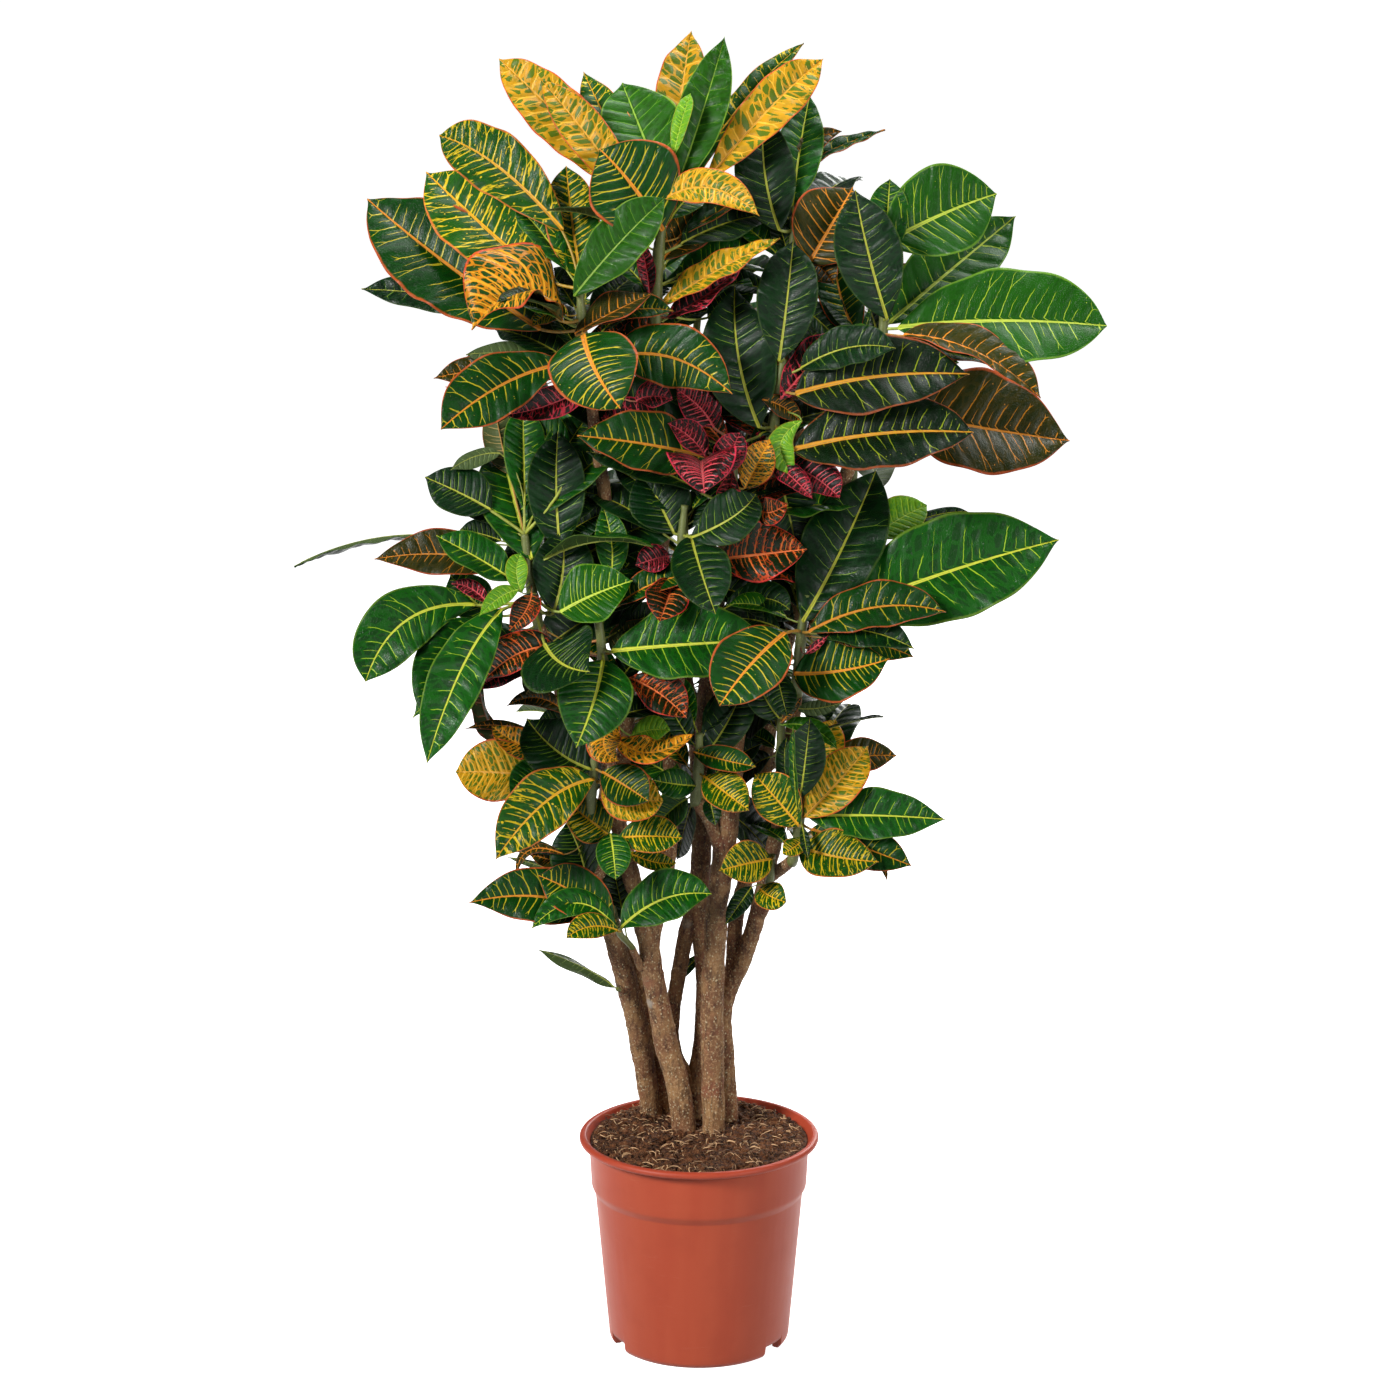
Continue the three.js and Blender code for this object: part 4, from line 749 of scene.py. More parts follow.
# %% The leaves
LEAVES = {
    "A": [
        ("gold", -70, 1150, -10, -128, 1215, -20, -187, 1272, -35, 55),
        ("gold", -66, 1148, 0, -108, 1205, 0, -149, 1254, -5, 42, 0, 10),
        ("sun", -50, 1150, -15, -82, 1207, -22, -108, 1260, -35, 40),
        ("fresh", -28, 1140, -5, -52, 1200, -12, -72, 1250, -20, 78),
        ("gold", -22, 1160, -14, -17, 1232, -22, -7, 1298, -32, 50),
        ("fresh", -22, 1150, 4, 3, 1222, 2, 24, 1293, -6, 46, 0, 12),
        ("lime", -24, 1182, 8, -16, 1215, 14, -8, 1240, 10, 18, 20, 10),
        ("orib", -34, 1112, 12, -64, 1156, 35, -94, 1189, 45, 92),
        ("gold", -32, 1142, 14, 12, 1152, 28, 57, 1126, 38, 36),
        ("sun", -12, 1150, -5, 38, 1228, -8, 98, 1286, -20, 27, 15, 10),
        ("gold", 4, 1155, -8, 64, 1224, -18, 116, 1272, -32, 46),
        ("orib", -20, 1105, -15, 92, 1172, -40, 175, 1206, -60, 26, 35),
        ("gold", -36, 1042, 12, 18, 1075, 30, 77, 1105, 42, 36, 30),
        ("red", -30, 1030, 8, 5, 1050, 18, 40, 1078, 24, 34, 20),
        ("green", 8, 1030, -20, 28, 1050, -22, 40, 1075, -25, 42),
        ("red", -47, 1052, 10, -50, 1078, 14, -57, 1106, 16, 17),
        ("olive", -34, 1085, -12, -8, 1112, -22, 25, 1136, -32, 40),
        ("dark", -36, 1060, -20, 10, 1080, -35, 50, 1110, -50, 36),
    ],
    "P": [
        ("dark", 76, 1112, -15, 62, 1166, -10, 61, 1221, -15, 58),
        ("green", 88, 1135, -25, 95, 1190, -32, 104, 1239, -42, 45),
        ("olive", 88, 1130, -30, 100, 1185, -42, 134, 1205, -52, 24),
        ("olive", 103, 1080, -15, 124, 1116, -5, 145, 1153, -10, 76),
        ("olive", 92, 1090, -30, 112, 1080, -20, 128, 1062, -12, 30),
    ],
    "B": [
        ("orib", -150, 1018, 20, -235, 1078, 12, -313, 1142, -5, 97),
        ("sun", -150, 1068, 15, -203, 1116, 0, -257, 1167, -15, 80),
        ("sun", -128, 1112, 10, -190, 1173, -15, -244, 1201, -30, 60),
        ("sun", -111, 1062, 24, -119, 1115, 14, -125, 1173, 4, 52),
        ("fresh", -119, 1050, 34, -76, 1100, 50, -32, 1143, 62, 50),
        ("fire", -130, 1026, 42, -172, 1050, 62, -216, 1018, 66, 88, -30, 30),
        ("sun", -124, 1032, 48, -142, 1034, 52, -158, 1022, 54, 20),
        ("orib", -110, 1014, 60, -99, 980, 95, -75, 943, 105, 84),
        ("orib", -128, 986, 40, -188, 966, 48, -247, 923, 55, 60),
        ("dark", -140, 990, 10, -180, 996, 5, -222, 995, 0, 26, 180),
        ("olive", -140, 975, 5, -200, 980, 0, -253, 972, -5, 30),
        ("red", -150, 965, 0, -200, 962, 0, -242, 964, 0, 14),
        ("red", -98, 970, 25, -140, 948, 30, -187, 937, 35, 30),
        ("orib", -84, 990, 38, -26, 992, 48, 32, 957, 60, 60),
        ("olive", -118, 1014, 42, -84, 1034, 50, -44, 1053, 48, 46, 40),
        ("dark", -150, 1030, -10, -240, 1050, -30, -320, 1057, -45, 36),
        ("red", -60, 950, 35, -45, 955, 38, -25, 952, 40, 24),
    ],
    "C": [
        ("dark", 179, 1028, -5, 160, 1092, 8, 147, 1151, 10, 64),
        ("leaf", 172, 1098, -28, 228, 1127, -28, 281, 1147, -25, 88),
        ("leaf", 180, 1024, -22, 236, 1073, -35, 299, 1126, -50, 70),
        ("leaf", 188, 1020, -10, 285, 1027, 0, 388, 1022, 5, 90),
        ("olive", 194, 1013, 0, 262, 998, 15, 326, 953, 20, 44, 25, 20),
        ("fire", 172, 1042, -35, 190, 1064, -40, 214, 1083, -45, 30, 180),
        ("fresh", 166, 1000, 0, 158, 1012, 6, 148, 1024, 10, 16),
        ("orib", 152, 1012, -25, 134, 1052, -28, 126, 1108, -35, 44),
        ("dark", 158, 1004, -5, 160, 1024, -2, 166, 1046, 0, 12, 60),
        ("olive", 190, 940, -35, 268, 925, -45, 355, 912, -55, 100),
    ],
    "D": [
        ("dark", 58, 924, 20, 38, 990, 25, 34, 1060, 20, 72),
        ("dark", 76, 988, 12, 83, 1042, 8, 89, 1103, -2, 58),
        ("red", 78, 952, 20, 106, 985, 22, 139, 1017, 20, 36),
        ("deep", 92, 957, 25, 172, 974, 45, 258, 976, 55, 74),
        ("deep", 90, 903, 35, 175, 919, 60, 263, 920, 72, 74),
        ("olive", 60, 952, 30, 80, 945, 34, 99, 929, 38, 20),
        ("lime", 99, 932, 40, 78, 908, 46, 93, 879, 50, 26),
        ("red", 80, 948, 14, 95, 975, 10, 112, 1005, 4, 22),
    ],
    "E": [
        ("orib", 8, 896, 35, -52, 909, 50, -117, 917, 58, 58),
        ("red", 6, 896, 42, -8, 915, 46, -30, 929, 50, 26),
        ("red", 20, 880, 44, 30, 900, 54, 39, 920, 58, 30),
        ("fire", 44, 866, 48, 56, 890, 56, 68, 914, 60, 34),
        ("red", 2, 892, 45, 3, 884, 68, 5, 861, 80, 66, 0, 15),
        ("red", 70, 892, 30, 90, 876, 38, 109, 856, 44, 24),
        ("red", 84, 890, 22, 112, 876, 26, 135, 857, 28, 36),
        ("ember", 60, 845, 40, 70, 843, 46, 85, 852, 50, 26),
        ("red", 14, 925, 20, 0, 945, 26, -22, 962, 30, 40),
    ],
    "Q": [
        ("dark", -8, 818, 22, 32, 838, 34, 55, 861, 40, 50),
        ("dark", -24, 822, 14, -38, 852, 16, -53, 886, 14, 60),
        ("dark", -8, 820, 20, 2, 785, 38, 16, 743, 46, 56),
        ("ember", 22, 797, 20, 62, 802, 32, 104, 807, 38, 56),
        ("red", -28, 800, 24, -44, 797, 30, -61, 791, 34, 28),
        ("ember", -24, 778, 30, -30, 758, 46, -38, 736, 54, 42, 0, 12),
        ("dark", 24, 748, 22, 60, 759, 30, 88, 747, 34, 32),
    ],
    "F": [
        ("green", -161, 796, 25, -177, 852, 30, -191, 914, 25, 68),
        ("dark", -134, 808, 10, -137, 864, 8, -135, 922, 0, 56),
        ("dark", -142, 742, 28, -131, 788, 34, -133, 829, 32, 60),
        ("green", -180, 776, 36, -213, 798, 44, -253, 820, 46, 42, -15, 12),
        ("olive", -182, 792, 18, -248, 802, 14, -313, 797, 8, 44),
        ("dark", -205, 812, -5, -300, 819, -20, -391, 790, -30, 24, 115),
        ("green", -215, 752, 12, -283, 737, 22, -324, 676, 28, 62),
        ("green", -200, 742, 5, -220, 758, 4, -240, 782, 0, 44),
        ("red", -203, 752, 16, -220, 768, 20, -239, 773, 22, 16),
        ("lime", -171, 764, 44, -176, 784, 48, -172, 803, 48, 22),
        ("lime", -174, 767, 48, -192, 760, 54, -213, 741, 58, 18),
        ("ember", -162, 764, 40, -168, 746, 46, -184, 727, 50, 26),
        ("green", -190, 748, 40, -230, 690, 60, -266, 594, 66, 52),
        ("green", -215, 738, 20, -250, 700, 24, -270, 642, 26, 46),
        ("dark", -200, 845, 8, -230, 862, 4, -263, 877, 0, 50),
        ("dark", -190, 900, -8, -214, 897, -10, -238, 884, -12, 20, 170),
        ("olive", -182, 880, -15, -190, 915, -18, -196, 950, -22, 34, 175),
        ("green", -125, 905, -10, -150, 918, -12, -178, 930, -15, 42),
        ("dark", -190, 815, 0, -210, 822, -3, -230, 826, -5, 24),
        ("dark", -150, 714, 50, -133, 694, 70, -106, 686, 85, 82),
        ("leaf", -134, 745, 48, -102, 762, 58, -64, 776, 62, 56),
    ],
    "G": [
        ("green", -93, 698, 55, -102, 658, 75, -120, 610, 82, 72),
        ("green", -86, 778, 30, -84, 812, 28, -93, 851, 24, 32),
        ("dark", -92, 775, 18, -97, 830, 14, -116, 865, 10, 34),
        ("green", -86, 706, 52, -12, 713, 66, 66, 717, 72, 74),
        ("ember", -138, 711, 40, -175, 704, 52, -207, 679, 56, 38),
        ("red", -140, 704, 30, -180, 690, 34, -217, 668, 36, 26),
        ("ember", -68, 680, 50, -38, 664, 58, -12, 640, 62, 38),
        ("fire", -80, 645, 45, -93, 614, 52, -78, 597, 54, 34),
        ("fire", -82, 622, 48, -48, 605, 60, -5, 624, 64, 32, 20),
        ("lime", -66, 622, 40, -48, 628, 46, -28, 628, 48, 26),
        ("olive", -126, 642, 25, -156, 660, 28, -187, 652, 30, 18),
        ("olive", -130, 705, 20, -150, 688, 22, -168, 664, 24, 32, 170),
        ("olive", -84, 705, 44, -70, 718, 40, -48, 738, 34, 34, 170),
    ],
    "H": [
        ("dark", 100, 735, 30, 137, 806, 36, 170, 884, 30, 78),
        ("orib", 106, 725, 40, 172, 750, 60, 239, 745, 70, 46),
        ("green", 120, 738, 28, 235, 783, 45, 347, 816, 50, 100),
        ("orib", 84, 725, 48, 50, 693, 68, 20, 652, 76, 68),
        ("orib", 92, 684, 40, 138, 687, 52, 185, 699, 58, 62),
        ("lime", 168, 818, -52, 192, 836, -60, 219, 850, -66, 42),
        ("dark", 170, 815, -70, 220, 838, -76, 259, 843, -82, 12),
        ("olive", 130, 718, 44, 155, 714, 50, 180, 717, 54, 8),
        ("red", 104, 704, 46, 114, 712, 48, 126, 723, 50, 8),
        ("dark", 74, 690, 36, 80, 665, 44, 86, 642, 46, 28),
        ("dark", 94, 650, 26, 116, 650, 28, 140, 656, 30, 14, 150),
    ],
    "I": [
        ("dark", -105, 588, 38, -140, 608, 44, -168, 640, 46, 62),
        ("gold", -140, 579, 30, -190, 585, 28, -238, 586, 26, 60),
        ("green", -128, 586, 34, -158, 578, 36, -185, 561, 38, 44),
        ("fire", -140, 600, 20, -172, 612, 18, -202, 632, 14, 28),
        ("red", -165, 600, 10, -203, 630, 6, -214, 690, 2, 24, 140),
        ("olive", -150, 618, 0, -190, 632, 0, -228, 629, -2, 10),
        ("sun", -102, 578, 44, -150, 556, 62, -200, 497, 70, 58),
        ("sun", -88, 523, 34, -108, 538, 38, -135, 560, 42, 46),
        ("green", -87, 524, 46, -84, 502, 54, -82, 477, 58, 34),
        ("sun", -80, 519, 48, -48, 521, 58, -16, 519, 64, 37),
        ("sun", -70, 505, 10, -45, 495, 8, -22, 494, 6, 18),
        ("dark", -111, 474, 30, -116, 503, 34, -130, 535, 36, 52, 30, 30),
        ("dark", -128, 498, 20, -160, 511, 20, -193, 506, 20, 14, 50),
        ("olive", -132, 502, 24, -166, 507, 26, -180, 480, 28, 10),
        ("olive", -116, 484, 22, -140, 495, 22, -166, 502, 22, 22),
        ("dark", -124, 478, 4, -154, 490, 8, -188, 500, 10, 9, 170),
        ("orib", -95, 586, 44, -72, 572, 60, -49, 556, 68, 44),
        ("gold", -92, 574, 40, -66, 560, 50, -35, 557, 56, 52),
    ],
    "J": [
        ("gold", 99, 548, 36, 117, 597, 38, 133, 639, 34, 42),
        ("gold", 103, 540, 42, 137, 577, 50, 165, 612, 50, 50),
        ("olive", 118, 585, 20, 155, 600, 18, 193, 602, 16, 34),
        ("dark", 99, 560, 24, 104, 600, 20, 108, 640, 14, 40),
        ("green", 106, 541, 40, 172, 542, 52, 242, 538, 60, 50),
        ("orib", 110, 528, 44, 155, 512, 52, 209, 491, 56, 44),
        ("sun", 99, 510, 48, 135, 500, 62, 177, 495, 70, 50),
        ("sun", 104, 520, 52, 95, 511, 60, 82, 503, 62, 20),
        ("dark", 101, 532, 54, 104, 516, 60, 107, 499, 62, 10),
        ("sun", 98, 531, 46, 77, 557, 54, 54, 584, 56, 46),
        ("green", 97, 548, 28, 93, 590, 26, 92, 632, 22, 14, 60),
        ("dark", 94, 552, 20, 84, 590, 18, 86, 622, 16, 18),
        ("olive", 165, 503, 40, 178, 495, 42, 185, 476, 44, 7),
    ],
    "K": [
        ("orib", -100, 444, 42, -162, 460, 50, -227, 453, 54, 56),
        ("orib", -84, 434, 48, -120, 462, 60, -158, 481, 64, 50),
        ("green", -82, 428, 56, -122, 453, 70, -165, 427, 76, 28),
        ("sun", -79, 424, 60, -106, 429, 74, -131, 417, 80, 26),
        ("green", -77, 427, 50, -35, 457, 64, 13, 462, 72, 50),
    ],
    "L": [
        ("sun", 72, 498, 20, 46, 493, 30, 20, 486, 34, 42),
        ("sun", 60, 468, 18, 70, 460, 28, 86, 454, 32, 30),
        ("dark", 52, 470, 10, 40, 452, 12, 26, 431, 14, 20),
    ],
    "M": [
        ("sun", 4, 582, 38, 26, 565, 52, 49, 547, 58, 40),
        ("orib", -6, 606, 36, 24, 598, 44, 56, 591, 48, 26),
        ("green", -3, 572, 32, -24, 574, 38, -46, 578, 40, 30),
        ("dark", 10, 560, 36, 13, 547, 42, 16, 532, 44, 18),
        ("dark", 4, 600, 20, 30, 640, 22, 45, 680, 20, 44),
        ("dark", -4, 612, 20, -22, 640, 22, -35, 668, 22, 30),
    ],
    "N": [
        ("fresh", 82, 633, 30, 110, 630, 36, 135, 609, 40, 18),
        ("olive", 81, 636, 28, 90, 648, 30, 100, 661, 30, 10),
        ("dark", 110, 625, 0, 155, 638, -2, 180, 641, -4, 10, 60),
        ("dark", 78, 640, 15, 62, 665, 18, 50, 700, 16, 36),
    ],
    "R": [
        ("dark", -84, 366, -9, -112, 385, -2, -158, 405, 8, 24, 140),
    ],
    "T": [
        ("dark", -24, 372, -62, -12, 386, -64, 6, 404, -66, 12),
    ],
}
USUAL = [0, 8]
listed = [(shoot, *row) for shoot, rows in LEAVES.items() for row in rows]
BEHIND = dict(A=3, B=3, C=3, P=2, D=1, E=1, F=3, G=1, H=2, I=2, J=3, K=1, L=1, N=1, U=8, V=8, W=8, X=7, Y=7, Z=7)
BEHIND_KINDS = ["dark", "green", "sun", "orib", "leaf", "ember"]
print(len(listed), "leaves in sight,", sum(BEHIND.values()), "places behind")

# %% [markdown]
# ## Green stems
# A shoot's stem stands square on the nearest branch end, as in the packed solids, so the same few lines
# find that end again.

# %% Stems of the shoots
branch_ends = []
for paths in STEMS.values():
    for path in paths:
        last = stations_of(path[-2:])[:, :3]
        branch_ends.append((last[1], unit(last[1] - last[0])))


def green_stem(path):
    """Stations [x, y, z, radius]: 0.4 and 3 mm out from the branch end nearest to the path's first place,
    then the path's other places."""
    stations = stations_of(path)
    end, way = min(branch_ends, key=lambda e: np.linalg.norm(e[0] - stations[0, :3]))
    foot = [np.append(end + rise * way, stations[0, 3]) for rise in (0.4, 3)]
    return np.vstack([*foot, stations[1:]])


green_stems = {key: green_stem(path) for key, (_, path) in SHOOTS.items()}
print("green stems:", len(green_stems))

# %% [markdown]
# ## A leaf in sight
# A leaf is kept as the three points of its midrib, its root on the stem, the way that its upper side faces,
# and its width. What the picture can't give is how a leaf leans in depth. Leaves reach for the light, so one
# that rises also leans back, by a share that changes from leaf to leaf.

# %% Leaves from the table
LEAN, LEAN_MORE, LEANS = 0.3, 0.3, 5


def root_on(stations, point, lowest):
    """The nearest of ten places along each stretch of a green stem, from `lowest` tenths of its first up."""
    found = []
    for i in range(1, len(stations) - 1):
        tenths = np.arange(0 if i > 1 else lowest, 10.01) / 10
        found.append(stations[i, :3] + (stations[i + 1, :3] - stations[i, :3]) * tenths[:, None])
    found = np.vstack(found)
    return found[np.linalg.norm(found - point, axis=1).argmin()]


def leaf_seen(number, shift):
    """A listed leaf, its blade `shift` mm nearer. A tip above its base leans back by 0.3 to 0.6 of the
    rise, and the upper side faces the eye and as much the sky."""
    shoot, kind, *numbers = listed[number]
    *numbers, width, roll, fold = numbers + USUAL[len(numbers) - 10:]
    base, middle, tip = np.array(numbers, float).reshape(3, 3)
    lean = LEAN + LEAN_MORE * (number % LEANS) / (LEANS - 1)
    middle[2] += lean * (base[1] - middle[1]) + 0.7 * shift
    tip[2] += lean * (base[1] - tip[1]) + shift
    base[2] += 0.3 * shift
    base, middle, tip = seen(np.array([base, middle, tip]))
    sight = unit(EYE - middle)
    face = unit(sight + [0, 0, lean])
    across = unit(np.cross(tip - base, face))
    return dict(base=base, middle=middle, tip=tip, root=root_on(green_stems[shoot], base, 2.5 + number % LEANS),
                face=face, width=width / np.sqrt(1 - (across @ sight) ** 2), roll=roll, fold=fold)


print("first leaf's tip:", leaf_seen(0, 0)["tip"].round(1))

# %% [markdown]
# ## Leaves out of sight
# New leaves appear along a stem at the golden angle, so that none stands right over the last. The hidden
# leaves are set out by the same rule: turned by golden steps, the lower ones more level and longer-stalked.

# %% Leaves behind
GOLDEN, ROOT_TWO, ROOT_THREE, ROOT_FIVE = 0.618034, 0.414214, 0.732051, 0.236068


def run_of(turn, rise):
    """The unit vector turned from the rear to the right and raised, both in radians."""
    return np.array([np.sin(turn) * np.cos(rise), np.cos(turn) * np.cos(rise), np.sin(rise)])


def arched(root, stalk_length, run, length, droop):
    """Root, base, middle and tip of a leaf that goes out along run, arches by a tenth of its length and
    droops by the share `droop` of it."""
    base = root + stalk_length * run
    tip = base + length * run - [0, 0, droop * length]
    return dict(root=root, base=base, middle=(base + tip) / 2 + [0, 0, 0.1 * length], tip=tip)


def leaf_behind(shoot, k, count, shift):
    """The k-th hidden leaf: turned by steps of the golden section, rising less the lower it grows, arched.
    Lean, length and roll take the fractions of other irrational steps, so none repeats."""
    serial = list(BEHIND).index(shoot) * 9 + k
    turn = np.radians((serial * GOLDEN % 1 - 0.5) * (300 if count > 4 else 170) + 0.7 * shift)
    rise = np.radians(38 - 60 * (k + 0.5) / count + 14 * (serial * ROOT_TWO % 1))
    length = 105 + 60 * (serial * ROOT_THREE % 1)
    high = 0.2 + 1.6 * (1 - (k + 0.5) / count)
    below, above = green_stems[shoot][int(high) + 1 : int(high) + 3, :3]
    root = below + (above - below) * max(high % 1, 0.2)
    return dict(arched(root, 16, run_of(turn, rise), length, 0.16), face=np.array([0, 0, 1.0]),
                width=0.36 * length, roll=16 * (serial * ROOT_FIVE % 1 - 0.5), fold=10)


print("first hidden leaf's tip:", leaf_behind("A", 0, BEHIND["A"], 0)["tip"].round(1))

# %% [markdown]
# ## Each leaf on its solid
# A leaf that would pass through a neighbour was moved a little along the line of sight when the solids were
# made. The finished solid tells how far: of the shifts that were open to it, the right one brings the
# leaf's tip onto a corner of the solid. A hidden leaf that found no free place there has no corner either,
# and is left out here too.

# %% Leaf placement
SHIFTS = [0, 9, -9, 18, -18, 28, -28, 40, -40, 54, -54, 70, -70, 88, -88, 110, -110]
ON_CORNER, FROM_CORNER = 1.6, 2.0
solid_points = {}
for name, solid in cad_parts.items():
    flat = np.empty(3 * len(solid.data.vertices), np.float32)
    solid.data.vertices.foreach_get("co", flat)
    solid_points[name] = np.unique(np.round(flat.reshape(-1, 3) / MM, 3), axis=0)


def settled(leaf_at, key):
    """The leaf at the shift that brings its tip to a corner of the solid, and how near it comes."""
    tips = np.array([leaf_at(shift)["tip"] for shift in SHIFTS])
    gaps = np.linalg.norm(solid_points[SHOOTS[key][0]][None] - tips[:, None], axis=2).min(1)
    close = np.flatnonzero(gaps < ON_CORNER)
    best = close[0] if len(close) else gaps.argmin()
    return leaf_at(SHIFTS[best]), gaps[best]


plant = {key: [] for key in SHOOTS}
loose = []
for number, (key, kind, *_) in enumerate(listed):
    leaf, gap = settled(lambda shift: leaf_seen(number, shift), key)
    plant[key].append({**leaf, "kind": kind, "seed": number})
    loose += [number] if gap > FROM_CORNER else []
for key, count in BEHIND.items():
    for k in range(count):
        leaf, gap = settled(lambda shift: leaf_behind(key, k, count, shift), key)
        if gap < FROM_CORNER:
            seed = 1000 + 10 * len(plant[key]) + k
            plant[key].append({**leaf, "kind": BEHIND_KINDS[k % 6], "seed": seed})
print("leaves placed:", sum(map(len, plant.values())), "without a corner:", loose)

# %% [markdown]
# ## The dark inside of a crown
# A real crown holds more leaves than its outline tells: dark ones deep inside, which close the gaps between
# the others. Some were placed where the photograph shows darkness behind the big leaves, given by the shoot
# and the point [across, up, toward] that the middle of the leaf covers.

# %% Leaves that close a gap
COVERED = [
    ("B", -150, 1112, 0, "green"), ("B", -132, 1062, -12, "dark"), ("B", -188, 980, 0, "dark"),
    ("B", -60, 1010, 8, "ember"), ("B", -160, 1010, -20, "dark"), ("A", -75, 1015, -10, "ember"),
    ("A", 22, 1090, -25, "green"), ("A", 5, 1052, -15, "dark"), ("P", 52, 1110, -40, "green"),
    ("P", 44, 1062, -42, "dark"), ("A", -75, 1085, -20, "green"), ("D", 22, 985, -10, "dark"),
    ("D", -10, 950, -25, "red"), ("D", 30, 940, -20, "ember"), ("E", -45, 925, 10, "red"),
    ("E", -75, 945, -5, "dark"), ("E", -55, 890, 5, "dark"), ("E", 5, 930, 5, "ember"),
    ("E", 60, 905, 5, "red"), ("E", 80, 925, -5, "dark"), ("E", 90, 880, -5, "dark"),
    ("E", 70, 860, 10, "ember"), ("E", 30, 862, 25, "red"), ("Q", -75, 850, -10, "dark"),
    ("Q", -55, 870, -10, "dark"), ("Q", -70, 810, -5, "green"), ("Q", -60, 765, 5, "dark"),
    ("Q", 35, 860, -10, "dark"), ("Q", 50, 760, -5, "dark"), ("Q", 70, 790, -5, "ember"),
    ("F", -120, 850, -10, "dark"), ("F", -110, 800, -10, "green"), ("F", -130, 900, -20, "green"),
    ("F", -215, 850, -10, "dark"), ("G", -60, 700, -5, "dark"), ("G", -130, 640, 0, "green"),
    ("G", -45, 650, 0, "dark"), ("G", -100, 600, 10, "dark"), ("M", -15, 660, 0, "green"),
    ("M", 35, 600, 5, "dark"), ("M", -35, 620, 10, "sun"), ("M", 20, 650, 10, "dark"),
    ("M", -30, 545, 5, "leaf"), ("N", 50, 660, -15, "dark"), ("N", 60, 620, -15, "green"),
    ("H", 60, 700, -5, "dark"), ("H", 130, 700, -5, "ember"), ("H", 60, 740, -10, "dark"),
    ("B", -79, 1056, -15, "dark"), ("P", 115, 1026, -30, "dark"), ("B", -126, 1017, -5, "dark"),
    ("F", -105, 888, -10, "green"), ("F", -62, 826, -15, "dark"), ("Q", 87, 847, -15, "green"),
    ("Q", -4, 848, 0, "dark"), ("E", 112, 938, -10, "dark"), ("F", -116, 830, 0, "dark"),
    ("Q", -88, 794, -18, "green"), ("Q", -108, 738, -20, "dark"), ("Q", 14, 869, -8, "green"),
    ("B", -57, 1047, -20, "dark"), ("D", -17, 972, -15, "dark"), ("H", 60, 694, -15, "green"),
    ("H", 50, 640, -25, "dark"), ("A", 28, 1120, -35, "dark"), ("P", 79, 1108, -45, "dark"),
    ("M", 43, 534, -20, "dark"), ("J", 70, 526, -10, "green"), ("M", -49, 595, -15, "green"),
    ("K", -80, 468, 0, "dark"), ("D", 88, 834, -20, "dark"), ("D", 105, 1010, -30, "dark"),
    ("F", -168, 905, -15, "green"), ("A", -13, 1030, -25, "dark"), ("E", 12, 905, -10, "dark"),
    ("C", 178, 1128, -40, "green"), ("N", 50, 590, -20, "dark"), ("M", -14, 530, -12, "dark"),
    ("C", 140, 1030, -35, "dark"), ("C", 215, 985, -40, "leaf"), ("C", 235, 925, -45, "olive"),
    ("C", 150, 975, -35, "green"),
]


def leaf_covering(shoot, point, seed):
    """A leaf whose middle covers the point: it starts on a petiole a third of the way out from the nearest
    place of the green stem and goes as far beyond the point as its base lies before it, drooping."""
    drawn = np.random.default_rng(seed)
    goal = seen(point)
    root = root_on(green_stems[shoot], goal - [0, 0, 30], 2)
    base = root + 0.3 * (goal - root)
    half = goal - base
    half *= max(1.0, 42 / np.linalg.norm(half))
    tip = goal + 0.9 * half + [0, -8, -0.2 * np.linalg.norm(half)]
    length = np.linalg.norm(tip - base)
    face = np.array([0, -0.9, 0.8 + drawn.uniform(0, 0.5)])
    return dict(base=base, middle=goal, tip=tip, root=root, face=face, width=drawn.uniform(0.38, 0.5) * length,
                roll=drawn.uniform(-18, 18), fold=12)


for n, (key, *point, kind) in enumerate(COVERED, 3000):
    plant[key].append({**leaf_covering(key, point, n), "kind": kind, "seed": n})
print("leaves with those that close a gap:", sum(map(len, plant.values())))

# %% [markdown]
# ## Small leaves round the stems
# The rest of the inner leaves are strewn round the green stems by the golden angle, and only those stay that
# lie well within the solid's own box. Towards the viewer they keep 25 mm more, or they would come out
# through the big leaves that hide them.

# %% Leaves round the stems
ROUND = dict(A=8, B=9, C=9, P=6, D=10, E=10, Q=10, F=7, G=11, H=10, I=8, J=4, M=4, N=6,
             U=10, V=9, W=9, X=10, Y=9, Z=9)
ROUND_KINDS = ["dark", "green", "dark", "orib", "dark", "leaf"]
INSIDE, INSIDE_BACK = np.array([28, 3, 12]), np.array([3, 3, 3])
INSIDE_FRONT = np.array([0, 25, 0])


